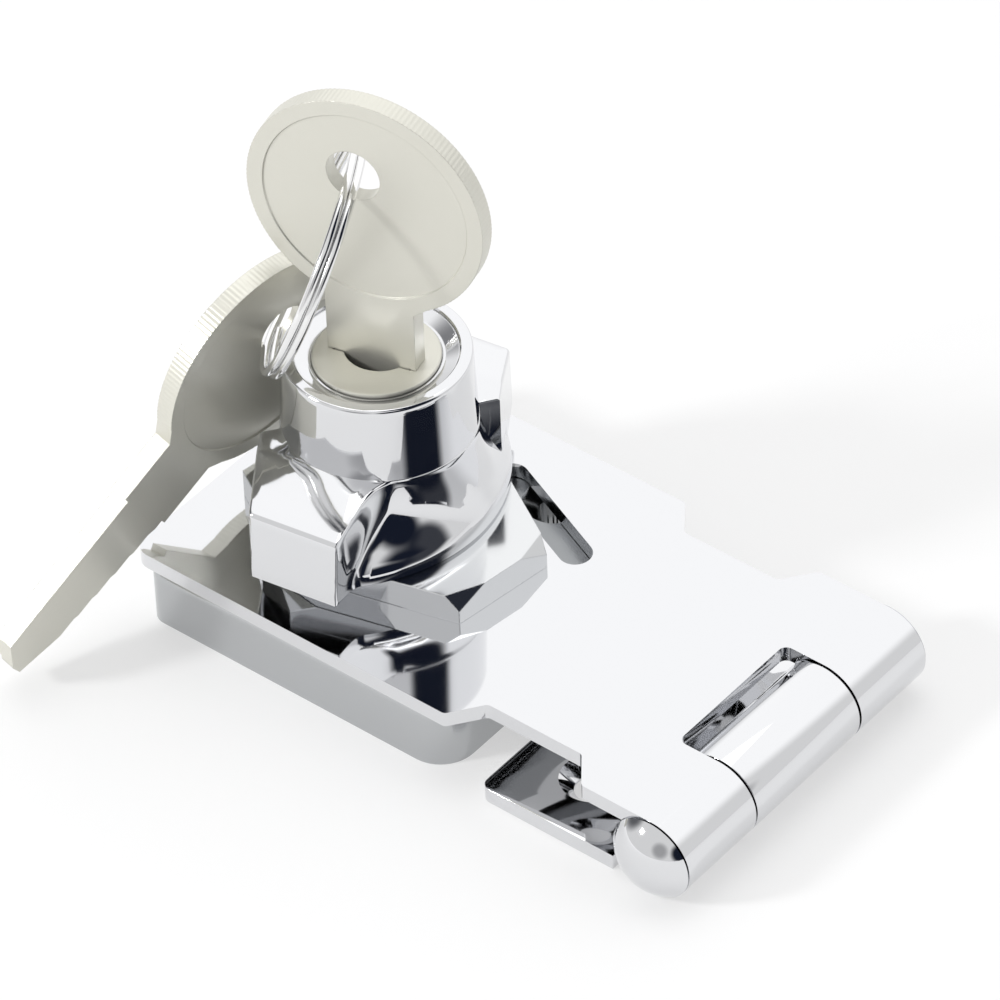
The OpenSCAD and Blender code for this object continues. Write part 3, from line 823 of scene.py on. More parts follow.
@dataclass
class Knob:
    """The winged knob with its skirt, neck and spindle.

    Attributes:
        turn: Angle of the wings in plan, in degrees.
        base_z: Height of the skirt's foot.
        foot_r: Radius of the barrel at that height.
        rim_z: Height of the barrel's rim.
        rim_r: Radius of the barrel at its rim.
        rim_round: Rounding of the rim.
        barrel_rows: Heights of the rows of faces between the wings and the rim.
        wing_half: Half thickness of a wing.
        wing_l: Reach of a wing.
        wing_z: Height of a wing's end.
        root_z: Height at which a wing's upper face leaves the barrel.
        root_y: Distance from the axis at which that face begins to slope.
        end_lean: How far a wing's end leans in.
        end_foot: Height of the upright foot of a wing's end.
        scoop_r: Radius of the scoop on the hollow side of a wing.
        scoop_sink: How far the scoop's foot lies inside the barrel.
        scoop_blend: Blend between the scoop and the skirt.
        crease_blend: Blend between a wing's flat side and the skirt.
        corner_blend: Rounding of a wing's upright corners.
        barrel_blend: Blend between all these and the barrel.
        wing_fade: Sine of the ray's angle at which the scoop's blend starts, and its span.
        side_fade: Cosine of that angle at which it starts at the wing's middle, and its span.
        root_fade: Distance under the wing's root at which the barrel's blend starts, and its span.
        flare: Power of the curve by which the skirt widens.
        skirt_foot: Height of the skirt's upright foot.
        skirt_drop: How far below the wing's root the skirt runs out.
        flank: Where the wing's straight side meets the barrel, in plan.
        skirt_r: Half length of the skirt's lens.
        skirt_arc: Radius of its arcs.
        edge: Rounding of the wings' upper edges.
        neck_bevel: Bevel at the neck's lower edge.
        stub_z: Lower and upper end of the stub's bevel.
        clip_z: Lower and upper side of the circlip's groove.
        clip_r: Radius of the groove's floor.
        neck_r: Radius of the neck that turns in the collar.
        neck_z: Height of the neck's lower face.
        spindle_r: Radius of the spindle below it.
        spindle_z: Height of the spindle's lower face.
        stub_r: Radius of the stub that carries the tongue.
        stub_bevel: Depth of the bevel at its end.
        bore_r: Radius of the bore for the cylinder.
        chamber_r: Radius of the plug's chamber.
        tap_r: Radius of the screw's hole.
        tap_z: Height of its end.
        bore_z: Height of the floor that the cylinder stands on.
        bore_bevel: Bevel of the bore's mouth.
        chamber_z: Height of the floor of the plug's chamber.
        pin_z: Height of the locking pin.
        pin_r: Radius of its bore.
        head_r: Radius of the bore for its head.
        head_stop: How far the head's bore stays inside the neck.
    """

    turn: float = 9.0
    base_z: float = 11.25
    rim_z: float = 27.9
    rim_r: float = 8.65
    rim_round: float = 0.35
    foot_r: float = 9.3
    barrel_rows: tuple[float, ...] = (21.0, 23.0, 25.0, 27.1)
    wing_half: float = 4.4
    wing_l: float = 15.9
    wing_z: float = 18.2
    root_z: float = 20.0
    root_y: float = 9.0
    end_lean: float = 0.6
    end_foot: float = 1.0
    scoop_r: float = 9.0
    scoop_sink: float = 0.4
    scoop_blend: float = 1.8
    crease_blend: float = 0.3
    corner_blend: float = 0.5
    barrel_blend: float = 0.9
    wing_fade: Point = (0.82, 0.12)
    side_fade: Point = (0.05, 0.15)
    root_fade: Point = (0.5, 4.0)
    flare: float = 2.2
    skirt_foot: float = 1.2
    skirt_drop: float = 0.4
    flank: Point = (8.4, 7.0)
    skirt_r: float = 11.0
    skirt_arc: float = 16.0
    neck_r: float = 8.2
    neck_z: float = 8.4
    neck_bevel: float = 0.1
    spindle_r: float = 6.65
    spindle_z: float = 6.64
    clip_z: Point = (6.72, 7.5)
    clip_r: float = 6.1
    stub_r: float = 5.1
    stub_z: Point = (4.62, 4.8)
    stub_bevel: float = 0.2
    tap_r: float = 1.6
    tap_z: float = 7.0
    bore_r: float = 7.47
    bore_z: float = 11.8
    bore_bevel: float = 0.12
    chamber_r: float = 5.55
    chamber_z: float = 7.95
    edge: float = 0.35
    pin_z: float = 9.825
    pin_r: float = 1.0
    head_r: float = 1.35
    head_stop: float = 0.7

    def barrel(self, z: float) -> float:
        """Radius of the barrel at a height."""
        t = (z - self.base_z) / (self.rim_z - self.base_z)
        return self.foot_r + (self.rim_r - self.foot_r) * min(max(t, 0.0), 1.0)

    def side_reach(self, a: float) -> float:
        """Finds how far the wing's side lets a ray out in plan.

        Args:
            a: Angle of the ray in the knob's frame, in radians.

        Returns:
            The distance from the axis, very large along the wing itself.
        """
        x, y = math.cos(a), math.sin(a)
        side = self.wing_half / max(abs(x), 1e-6)
        r = self.barrel(self.root_z) - self.scoop_sink
        if x * y < 0:
            s = self.scoop_r
            cx = self.wing_half + s
            cy = math.sqrt((r + s) ** 2 - cx ** 2)
            if abs(y) * cx < abs(x) * cy:
                return r
            along = cx * abs(x) + cy * abs(y)
            off = along * along - (cx * cx + cy * cy - s * s)
            return along - math.sqrt(max(off, 0.0)) if abs(y) * side < cy else side
        tip = (self.wing_half, self.wing_l)
        fx, fy = self.flank
        dx, dy = fx - tip[0], fy - tip[1]
        cross = abs(x) * dy - abs(y) * dx
        reach = (tip[0] * dy - tip[1] * dx) / cross if abs(cross) > 1e-9 else 1e9
        if reach > 0 and abs(y) * reach >= fy:
            return max(side, reach) if abs(y) * reach <= self.wing_l else side
        return r

    def skirt(self, a: float) -> float:
        """Finds the reach of the skirt's lens in plan.

        Args:
            a: Angle of the ray in the knob's frame, in radians.

        Returns:
            The distance of the lens's edge from the axis.
        """
        shift = self.skirt_arc - self.skirt_r
        c = abs(math.cos(a))
        return -shift * c + math.sqrt(shift * shift * c * c + self.skirt_arc ** 2 - shift ** 2)

    def reach(self, a: float, z: float) -> float:
        """Finds the radius of the knob's outside.

        Args:
            a: Angle of the ray in the knob's frame, in radians.
            z: Height.

        Returns:
            The distance of the surface from the axis.
        """
        barrel = self.barrel(z)
        rise = max(0.0, z - self.base_z - self.end_foot) / (self.wing_z - self.base_z - self.end_foot)
        face = (self.wing_l - self.end_lean * rise) / max(abs(math.sin(a)), 1e-6)
        wing = soft_min(self.side_reach(a), face, self.corner_blend)
        span = self.root_z - self.skirt_drop - self.base_z - self.skirt_foot
        t = ramp(z - self.base_z, self.skirt_foot, span)
        skirt = barrel + (self.skirt(a) - barrel) * (1 - t) ** self.flare
        blend = self.crease_blend
        if math.cos(a) * math.sin(a) < 0:
            near_wing = ramp(abs(math.sin(a)), *self.wing_fade)
            near_side = ramp(abs(math.cos(a)), *self.side_fade)
            blend += (self.scoop_blend - blend) * near_wing * near_side
        least = 0.02
        fade = max(ramp(self.root_z - z, *self.root_fade), least)
        return soft_max(soft_max(wing, skirt, blend), barrel, self.barrel_blend * fade)

    def top(self, r: float, a: float) -> float:
        """Finds the height of the wing's upper face at a place in plan.

        Args:
            r: Distance of the place from the axis.
            a: Its angle in the knob's frame, in radians.

        Returns:
            The height.
        """
        y = abs(r * math.sin(a))
        slope = (self.root_z - self.wing_z) / (self.wing_l - self.end_lean - self.root_y)
        return min(self.root_z, self.root_z - (y - self.root_y) * slope)

    def angles(self) -> list[float]:
        """Lists the angles of the loft, closer together at the wings' corners.

        Returns:
            The angles in radians, in order.
        """
        found = {float(k) for k in range(360)}
        corner = math.degrees(math.atan2(self.wing_l - self.end_lean / 2, self.wing_half))
        near, step = 14, 0.14
        for middle in (corner, 180 - corner, 180 + corner, 360 - corner):
            for k in range(-near, near + 1):
                found.add(round(middle + k * step, 4))
        return [math.radians(a) for a in sorted(found)]

    def outer_profile(self, a: float) -> list[Point]:
        """Profile of one ray, from the skirt's foot to the rim.

        Args:
            a: Angle of the ray in the knob's frame, in radians.

        Returns:
            Points of (radius, height).
        """
        z_top = self.root_z
        for _ in range(4):
            z_top = self.top(self.reach(a, z_top), a)
        e, foot, rows = self.edge, 0.2, 14
        widest = self.reach(a, self.base_z)
        out = [(widest - foot, self.base_z), (widest, self.base_z + foot)]
        for k in range(1, rows + 1):
            z = self.base_z + foot + (z_top - e - self.base_z - foot) * k / rows
            out.append((self.reach(a, z), z))
        outer = self.reach(a, z_top)
        root = self.barrel(self.root_z)
        for k in range(1, 5):
            b = math.pi / 2 * k / 4
            r = max(root + 0.02 * (5 - k), outer - e * (1 - math.cos(b)))
            out.append((r, self.top(r, a) - e * (1 - math.sin(b))))
        start, steps, fillet = max(root + 0.01, outer - e), 6, 0.12
        for k in range(1, steps + 1):
            r = start + (root - start) * k / steps
            out.append((r, self.top(r, a) + (fillet * (k / steps) ** 4)))
        for z in (*self.barrel_rows, self.rim_z - self.rim_round):
            out.append((self.barrel(z), z))
        for k in range(1, 5):
            b = math.pi / 2 * k / 4
            inward, down = self.rim_round * (1 - math.cos(b)), self.rim_round * (1 - math.sin(b))
            out.append((self.barrel(self.rim_z) - inward, self.rim_z - down))
        return out

    def build(self) -> None:
        """Builds the knob as one loft from its spindle to the inside of its chamber."""
        stub_low, stub_high = self.stub_z
        clip_low, clip_high = self.clip_z
        bevel = self.neck_bevel
        below = [
            (AXIS, self.tap_z), (self.tap_r, self.tap_z), (self.tap_r, stub_low),
            (self.stub_r - self.stub_bevel, stub_low), (self.stub_r, stub_high),
            (self.stub_r, self.spindle_z), (self.spindle_r, self.spindle_z),
            (self.spindle_r, clip_low), (self.clip_r, clip_low), (self.clip_r, clip_high),
            (self.spindle_r, clip_high), (self.spindle_r, self.neck_z),
            (self.neck_r - bevel, self.neck_z), (self.neck_r, self.neck_z + bevel),
            (self.neck_r, self.base_z),
        ]
        inside = [
            (self.bore_r + self.bore_bevel, self.rim_z), (self.bore_r, self.rim_z - self.bore_bevel),
            (self.bore_r, self.bore_z), (self.chamber_r, self.bore_z),
            (self.chamber_r, self.chamber_z), (AXIS, self.chamber_z),
        ]
        angles = self.angles()
        columns = [below + self.outer_profile(a) + inside for a in angles]
        loops = [
            [(r * math.cos(a), r * math.sin(a), z) for a, (r, z) in zip(angles, row)]
            for row in zip(*columns)
        ]
        knob = loft("knob_winged", loops, crease=30.0)
        bores = []
        for r, reach in ((self.pin_r, 2 * self.neck_r), (self.head_r, self.neck_r - self.head_stop)):
            bore = lathe("pin_bore", [(AXIS, 0), (r, 0), (r, reach), (AXIS, reach)], 32)
            lay = Matrix.Rotation(-math.pi / 2, 4, "Z") @ Matrix.Translation((0, 0, self.pin_z * MM))
            place(bore, lay @ Matrix.Rotation(math.pi / 2, 4, "Y"))
            bores.append(bore)
        combine(knob, bores, Cut.AWAY)
        settle(knob, crease=30.0)
        place(knob, Matrix.Rotation(math.radians(self.turn), 4, "Z"))
        deliver(knob, Body.KNOB, CHROME, "knob_shell")


@dataclass
class Plug:
    """The turning plug with its keyway, the lens-shaped hollow and the cam groove.

    Attributes:
        lens: Half length, middle and half width of the hollow in the face.
        wafers: First height, pitch and number of the wafer slots.
        wafer_cut: Half width and half height of a wafer slot.
        ring_cut: Lower end, upper end and floor radius of the retainer's groove.
        cam_cut: Lower and upper end of the cam groove.
        cam_low: Distance of the pin's end from the axis while it is drawn.
        cam_lift: How far the cam moves the pin.
        cam_sweep: Angle through which it does, in degrees.
        cam_gap: Clearance between the cam and the pin.
        dome_r: Radius of the pin's domed end.
        dome_view: Angle beyond which the pin can't touch the cam, in degrees.
    """

    turn: float = 14.0
    knob_turn: float = 9.0
    r: float = 5.5
    face_r: float = 5.85
    foot_z: float = 8.0
    flange_z: float = 26.65
    face_z: float = 27.4
    keyway: Point3 = (3.85, 1.05, 18.6)
    lens: Point3 = (2.8, -0.95, 1.5)
    lens_depth: float = 1.6
    wafers: tuple[float, float, int] = (14.65, 2.5, 5)
    wafer_cut: Point = (2.85, 0.6)
    ring_cut: Point3 = (12.25, 13.85, 4.4)
    cam_cut: Point = (8.425, 11.225)
    cam_low: float = 4.0
    cam_lift: float = 1.6
    cam_sweep: float = 36.0
    cam_gap: float = 0.1
    dome_r: float = 1.9
    dome_view: float = 60.0
    rim_round: float = 0.2

    def box(self, half_x: float, half_y: float, low: float, high: float) -> bpy.types.Object:
        """Makes a box round the axis, as a cutter."""
        corners = [(half_x, half_y), (-half_x, half_y), (-half_x, -half_y), (half_x, -half_y)]
        return prism("plug_cut", corners, low, high)

    def dome_reach(self, turn: float, pole: float) -> float:
        """Finds how near the pin's dome comes to the axis.

        Args:
            turn: Angle from the pin's middle, in degrees.
            pole: Distance of the dome's pole from the axis.

        Returns:
            The distance, or more than the plug's radius if the dome isn't met.
        """
        centre = pole + self.dome_r
        off = centre * math.sin(math.radians(turn))
        if abs(turn) >= self.dome_view or abs(off) >= self.dome_r:
            return self.r + 1
        return centre * math.cos(math.radians(turn)) - math.sqrt(self.dome_r ** 2 - off ** 2)

    def cam_points(self) -> list[Point]:
        """Draws the groove that moves the locking pin as the plug turns.

        The pin's dome is followed from a little before the cam's travel to a little past it.

        Returns:
            The groove's outline.
        """
        inner, outer = [], []
        shares = [k * 0.04 - 0.08 for k in range(30)]
        far = self.r + 2
        first, past, step = -69, 25, 3
        for a in range(first, past, step):
            reach = min(
                self.dome_reach(a + share * self.cam_sweep, self.cam_low + self.cam_lift * share)
                for share in shares
            )
            r = min(reach - self.cam_gap, self.r + 1)
            turn = math.radians(a)
            inner.append((r * math.sin(turn), -r * math.cos(turn)))
            outer.append((far * math.sin(turn), -far * math.cos(turn)))
        return inner + outer[::-1]

    def lens_points(self) -> list[Point]:
        """Draws the hollow, two arcs that meet in points.

        Returns:
            The hollow's outline.
        """
        half, middle, wide = self.lens
        bend = (half * half + wide * wide) / (2 * wide)
        open_angle = math.degrees(math.asin(half / bend))
        upper = arc(0, middle + wide - bend, bend, 90 - open_angle, 90 + open_angle, 16)
        lower = arc(0, middle - wide + bend, bend, 270 - open_angle, 270 + open_angle, 16)
        return upper[:-1] + lower[:-1]

    def build(self) -> None:
        """Turns the plug and cuts everything out of it."""
        low, high, floor = self.ring_cut
        turned = self.rim_round
        rim = arc(self.face_r - turned, self.face_z - turned, turned, 0, 90, 5)
        profile = [
            (AXIS, self.foot_z), (self.r, self.foot_z), (self.r, low), (floor, low), (floor, high),
            (self.r, high), (self.r, self.flange_z), (self.face_r, self.flange_z), *rim,
            (AXIS, self.face_z),
        ]
        plug = lathe("plug_with_keyway", profile)
        half_x, half_y, depth = self.keyway
        cuts = [self.box(half_x, half_y, self.face_z - depth, self.face_z + PAST)]
        first, pitch, count = self.wafers
        wide, tall = self.wafer_cut
        for i in range(count):
            z = first + i * pitch
            cuts.append(self.box(self.r + PAST, wide, z - tall, z + tall))
        lens_z = self.face_z - self.lens_depth
        cuts.append(prism("lens_cut", self.lens_points(), lens_z, self.face_z + PAST))
        cam = prism("cam_cut", self.cam_points(), *self.cam_cut)
        place(cam, Matrix.Rotation(math.radians(self.knob_turn - self.turn), 4, "Z"))
        cuts.append(cam)
        combine(plug, cuts, Cut.AWAY)
        settle(plug, crease=35.0)
        place(plug, Matrix.Rotation(math.radians(self.turn), 4, "Z"))
        deliver(plug, Body.PLUG, PLUG_NICKEL, "plug")


@dataclass
class KeyBlank:
    """A flat key with a round bow, a ring hole and a stepped blade.

    The shoulder is at the origin and the blade points down.

    Attributes:
        bow_r: Radius of the bow.
        bow_z: Height of its middle.
        thick: Thickness of the key.
        neck_w: Width of the neck.
        neck_lift: How far the neck runs up into the bow, to each side and in height.
        blade_w: Width of the blade.
        blade_l: Its length.
        tip: Ends of the blade's blunt point, across, and the point's length.
        eye: Middle of the ring's hole.
        eye_r: Its radius.
        seat: Gap between the shoulder and the plug's face.
        rim: Width of the bow's raised rim.
        dish: Depth of the field inside it.
        dish_slope: Width of the field's sloping edge.
        reed: Depth of the reeding on the bow's edge.
        reeds: Number of its grooves.
        groove: Outline of the groove along each side of the blade.
        groove_depth: Its depth.
        groove_z: Height at which it ends under the shoulder.
        wafer_first: Height of the first wafer.
        wafer_pitch: Distance from wafer to wafer.
        wafers: Number of wafers.
        cut_low: Width left at the first wafer, from the key's middle.
        cut_step: How much wider each next cut is left.
        ramp_half: Half length of the slope between two cuts.
        last_gap: How far the blade's full width starts past the last cut.
    """

    bow_r: float = 11.45
    bow_z: float = 17.4
    thick: float = 1.9
    neck_w: float = 8.7
    neck_lift: Point = (1.2, 1.0)
    blade_w: float = 7.4
    blade_l: float = 18.4
    tip: Point3 = (-0.8, 0.6, 1.6)
    eye: Point = (-1.0, 20.6)
    eye_r: float = 2.6
    seat: float = 0.03
    rim: float = 1.5
    dish: float = 0.15
    dish_slope: float = 0.12
    reed: float = 0.04
    reeds: int = 130
    groove: tuple[Point, ...] = ((-1.6, 0.35), (-1.3, 0), (-0.5, 0), (-0.2, 0.35), (-0.2, 2), (-1.6, 2))
    groove_depth: float = 0.35
    groove_z: float = -0.5
    wafer_first: float = -12.75
    wafer_pitch: float = 2.5
    wafers: int = 5
    cut_low: float = 2.1
    cut_step: float = 0.25
    ramp_half: float = 0.25
    last_gap: float = 0.6

    def cut(self, i: int) -> float:
        """Finds the width left at one wafer's cut, counted from the tip."""
        return self.cut_low + self.cut_step * i

    def outline(self) -> list[Point]:
        """Draws the whole key, from the shoulder round the bow and down the blade.

        Returns:
            The outline's points, as places across and up.
        """
        r, w = self.bow_r, self.neck_w / 2
        aside, lift = self.neck_lift
        join = math.degrees(math.asin((w + aside) / r))
        line: list[Point] = [(w, self.seat), (w, self.bow_z - r * math.cos(math.radians(join)) - lift)]
        steps = self.reeds * 4
        start, end = -90 + join, 270 - join
        for k in range(steps + 1):
            a = math.radians(start + (end - start) * k / steps)
            wave = self.reed * (0.5 - 0.5 * math.cos(TAU * k / 4))
            line.append(((r - wave) * math.cos(a), self.bow_z + (r - wave) * math.sin(a)))
        line += [(-w, line[1][1]), (-w, self.seat), (-self.blade_w / 2, self.seat)]
        tip_from, tip_to, tip_l = self.tip
        tip = self.blade_l - tip_l
        line += [(-self.blade_w / 2, -tip), (tip_from, -self.blade_l), (tip_to, -self.blade_l)]
        half = self.wafer_pitch / 2 - self.ramp_half
        for i in range(1, self.wafers + 1):
            z = self.wafer_first + (i - 1) * self.wafer_pitch
            line += [(self.cut(i), max(z - half, -tip)), (self.cut(i), z + half)]
        last = self.wafer_first + (self.wafers - 1) * self.wafer_pitch
        last += self.wafer_pitch / 2 + self.last_gap
        line += [(self.blade_w / 2, last), (self.blade_w / 2, self.seat)]
        return line

    def build(self, name: str, matrix: Matrix, body: Body, node: str) -> None:
        """Builds one key at its place.

        Args:
            name: Name of the piece.
            matrix: Where the shoulder lies, in metres.
            body: The body it moves with.
            node: The node it stands for.
        """
        half = self.thick / 2
        inner_r = self.bow_r - self.rim
        foot, past = 0.2, 1.2
        dish = [
            (AXIS, 0), (inner_r - self.dish_slope, 0), (inner_r, foot), (inner_r, past), (AXIS, past)
        ]
        key = loft(name, [[(x, y, z) for x, z in self.outline()] for y in (-half, half)], crease=40.0)
        cuts = []
        for side in (-1, 1):
            disc = lathe("dish", dish, 128)
            lay = Matrix.Translation((0, side * (half - self.dish) * MM, self.bow_z * MM))
            place(disc, lay @ Matrix.Rotation(-side * math.pi / 2, 4, "X"))
            cuts.append(disc)
            bar = prism("groove", self.groove, -self.blade_l - PAST, self.groove_z)
            flip = Matrix.Diagonal((1, side, 1, 1))
            place(bar, Matrix.Translation((0, side * (half - self.groove_depth) * MM, 0)) @ flip)
            cuts.append(bar)
        end = 3 * PAST
        hole = lathe("eye", [(AXIS, -end), (self.eye_r, -end), (self.eye_r, end), (AXIS, end)], 64)
        x, z = self.eye
        place(hole, Matrix.Translation((x * MM, 0, z * MM)) @ Matrix.Rotation(math.pi / 2, 4, "X"))
        cuts.append(hole)
        combine(key, cuts, Cut.AWAY)
        settle(key, crease=40.0)
        place(key, matrix)
        deliver(key, body, KEY_NICKEL, node)


@dataclass
class Keys:
    """The key in the lock, the hanging key and the split ring that joins them.

    Attributes:
        face_z: Height of the plug's face.
        key_turn: Angle of the key in the plug, in degrees.
        spare_eye: Middle of the hanging key's hole.
        spare_turn: Turns of the hanging key about X, Y and Z, in degrees.
        ring_top: How far the ring's line passes from the middle of the upper hole.
        ring_end: The same at the lower hole.
        ring_turn: Angle of the ring's plane about the line between the holes, in degrees.
        wire: Radius of the ring's wire.
        lay: Distance of the ring's two turns, as a share of the wire's thickness.
        first: Angle at which the wire starts, in degrees.
        turns: Number of turns.
    """

    face_z: float = 27.4
    key_turn: float = 14.0
    spare_eye: Point3 = (-10.26, -1.64, 26.58)
    spare_turn: Point3 = (16.1, 51.7, 95.5)
    ring_top: float = 1.22
    ring_end: float = 0.39
    ring_turn: float = 68.7
    wire: float = 0.4
    lay: float = 0.97
    first: float = 100.0
    turns: float = 1.97

    def build(self) -> None:
        """Builds both keys and the ring."""
        blank = KeyBlank()
        turn = math.radians(self.key_turn)
        seat = Matrix.Translation((0, 0, self.face_z * MM)) @ Matrix.Rotation(turn, 4, "Z")
        blank.build("key_in_lock", seat, Body.KEY, "key")
        spin = Euler([math.radians(a) for a in self.spare_turn], "XYZ").to_matrix().to_4x4()
        shift = Matrix.Translation((-blank.eye[0] * MM, 0, -blank.eye[1] * MM))
        hang = Matrix.Translation([v * MM for v in self.spare_eye]) @ spin @ shift
        blank.build("key_hanging", hang, Body.SPARE, "spare_key")
        x, z = blank.eye
        eye = Vector((x * math.cos(turn), x * math.sin(turn), self.face_z + z))
        self.build_ring(eye, Vector(self.spare_eye))

    def build_ring(self, eye: Vector, other: Vector) -> None:
        """Winds the split ring through both holes.

        Args:
            eye: Centre of the upper key's hole, in millimetres.
            other: Centre of the hanging key's hole.
        """
        way = (other - eye).normalized()
        top, end = eye + way * self.ring_top, other + way * self.ring_end
        centre, r = (top + end) / 2, (end - top).length / 2
        step = self.wire * self.lay
        path = []
        count, slope = 220, 14
        for k in range(count + 1):
            t = k / count
            a = math.radians(self.first) + TAU * self.turns * t
            blend = ramp(k, count / 2 - slope / 2, slope)
            rise = step * (2 * (blend * blend * (3 - 2 * blend)) - 1)
            path.append(Vector((r * math.cos(a), r * math.sin(a), rise)))
        ring = sweep("split_ring", path, self.wire, 14)
        lean = Matrix.Rotation(math.atan2(way.y, way.x), 4, "Z")
        lean @= Matrix.Rotation(math.acos(way.z), 4, "Y")
        turn = Matrix.Rotation(math.radians(self.ring_turn), 4, "Z")
        turn @= Matrix.Rotation(math.pi / 2, 4, "X")
        place(ring, Matrix.Translation(centre * MM) @ lean @ turn)
        deliver(ring, Body.RING, RING_STEEL, "key_ring")


@dataclass
class Spring:
    """A compression spring.

    Attributes:
        r: Radius of the wire's centre line.
        wire: Radius of the wire.
        low: Place of its first turn's centre.
        high: Place of its last turn's centre.
        turns: Number of turns.
        around: Points round the wire.
    """

    r: float
    wire: float
    low: float
    high: float
    turns: float
    around: int

    def build(self, name: str) -> bpy.types.Object:
        """Winds the spring along Z.

        Args:
            name: Name of the piece.

        Returns:
            The spring.
        """
        steps = int(self.turns * 20)
        path = []
        for k in range(steps + 1):
            t = k / steps
            a = TAU * self.turns * t
            z = self.low + (self.high - self.low) * t
            path.append(Vector((self.r * math.cos(a), self.r * math.sin(a), z)))
        return sweep(name, path, self.wire, self.around)


@dataclass
class InnerWorks:
    """Springs inside the plug and beside the locking pin.

    Attributes:
        wafer_spring: Size of a wafer's spring.
        pin_spring: Size of the locking pin's spring.
        key_turn: Angle of the plug, in degrees.
        knob_turn: Angle of the knob, in degrees.
        plug_r: Radius of the plug.
        pocket: How far inside the plug's edge a wafer's spring starts.
        spring_y: How far it lies beside the plug's middle.
        first: Height of the first spring.
        pitch: Distance from spring to spring.
        count: Number of wafer springs.
        pin_x: Distance of the pin's spring from the axis.
        pin_z: Its height.
    """

    wafer_spring: Spring = field(default_factory=lambda: Spring(0.26, 0.07, 0.08, 2.3, 7, 6))
    pin_spring: Spring = field(default_factory=lambda: Spring(1.1, 0.13, 0.13, 0.55, 2.5, 8))
    key_turn: float = 14.0
    knob_turn: float = 9.0
    plug_r: float = 5.5
    pocket: float = 1.0
    spring_y: float = 1.8
    first: float = 14.65
    pitch: float = 2.5
    count: int = 5
    pin_x: float = 4.96
    pin_z: float = 9.825

    def build(self) -> None:
        """Winds every spring and lays it in its pocket."""
        lay = Matrix.Rotation(math.pi / 2, 4, "Y")
        turn = Matrix.Rotation(math.radians(self.key_turn), 4, "Z")
        springs = []
        for i in range(self.count):
            spring = self.wafer_spring.build(f"wafer_spring_{i + 1}")
            seat = Vector((self.pocket - self.plug_r, self.spring_y, self.first + i * self.pitch))
            place(spring, turn @ Matrix.Translation(seat * MM) @ lay)
            springs.append(spring)
        for spring in springs[1:]:
            deliver(spring, Body.PLUG, STEEL)
        deliver(springs[0], Body.PLUG, STEEL, "wafer_springs")
        spring = self.pin_spring.build("locking_pin_spring")
        seat = Matrix.Translation((self.pin_x * MM, 0, self.pin_z * MM))
        place(spring, Matrix.Rotation(math.radians(self.knob_turn - 90), 4, "Z") @ seat @ lay)
        deliver(spring, Body.PIN, STEEL, "pin_spring")


class Sum(Enum):
    """Sums that the floor's and the room's nodes need."""

    LARGER = "MAXIMUM"
    TIMES = "MULTIPLY"


def figure(
    tree: bpy.types.NodeTree,
    kind: Sum,
    first: bpy.types.NodeSocket,
    second: bpy.types.NodeSocket | float,
) -> bpy.types.NodeSocket:
    """Adds one sum to a set of nodes.

    Args:
        tree: The nodes.
        kind: Kind of sum.
        first: End of the node that gives the first number.
        second: Second number, or the end of the node that gives it.

    Returns:
        The end that gives the result.
    """
    node = tree.nodes.new("ShaderNodeMath")
    node.operation = kind.value
    tree.links.new(first, node.inputs[0])
    if isinstance(second, float):
        node.inputs[1].default_value = second
    else:
        tree.links.new(second, node.inputs[1])
    return node.outputs[0]


@dataclass(frozen=True)
class Patch:
    """A soft patch of the room, dark, or bright where its depth is negative.

    Attributes:
        azimuth: Where its middle lies round the object, in degrees.
        height: How high it lies, in degrees.
        inner: Half-angle of its even part, in degrees.
        outer: Half-angle at which it has faded out, in degrees.
        depth: Share of the light that it takes away.
    """

    azimuth: float
    height: float
    inner: float
    outer: float
    depth: float

    def direction(self) -> Point3:
        """Unit vector towards the patch."""
        a, h = math.radians(self.azimuth), math.radians(self.height)
        return (math.cos(h) * math.cos(a), math.cos(h) * math.sin(a), math.sin(h))


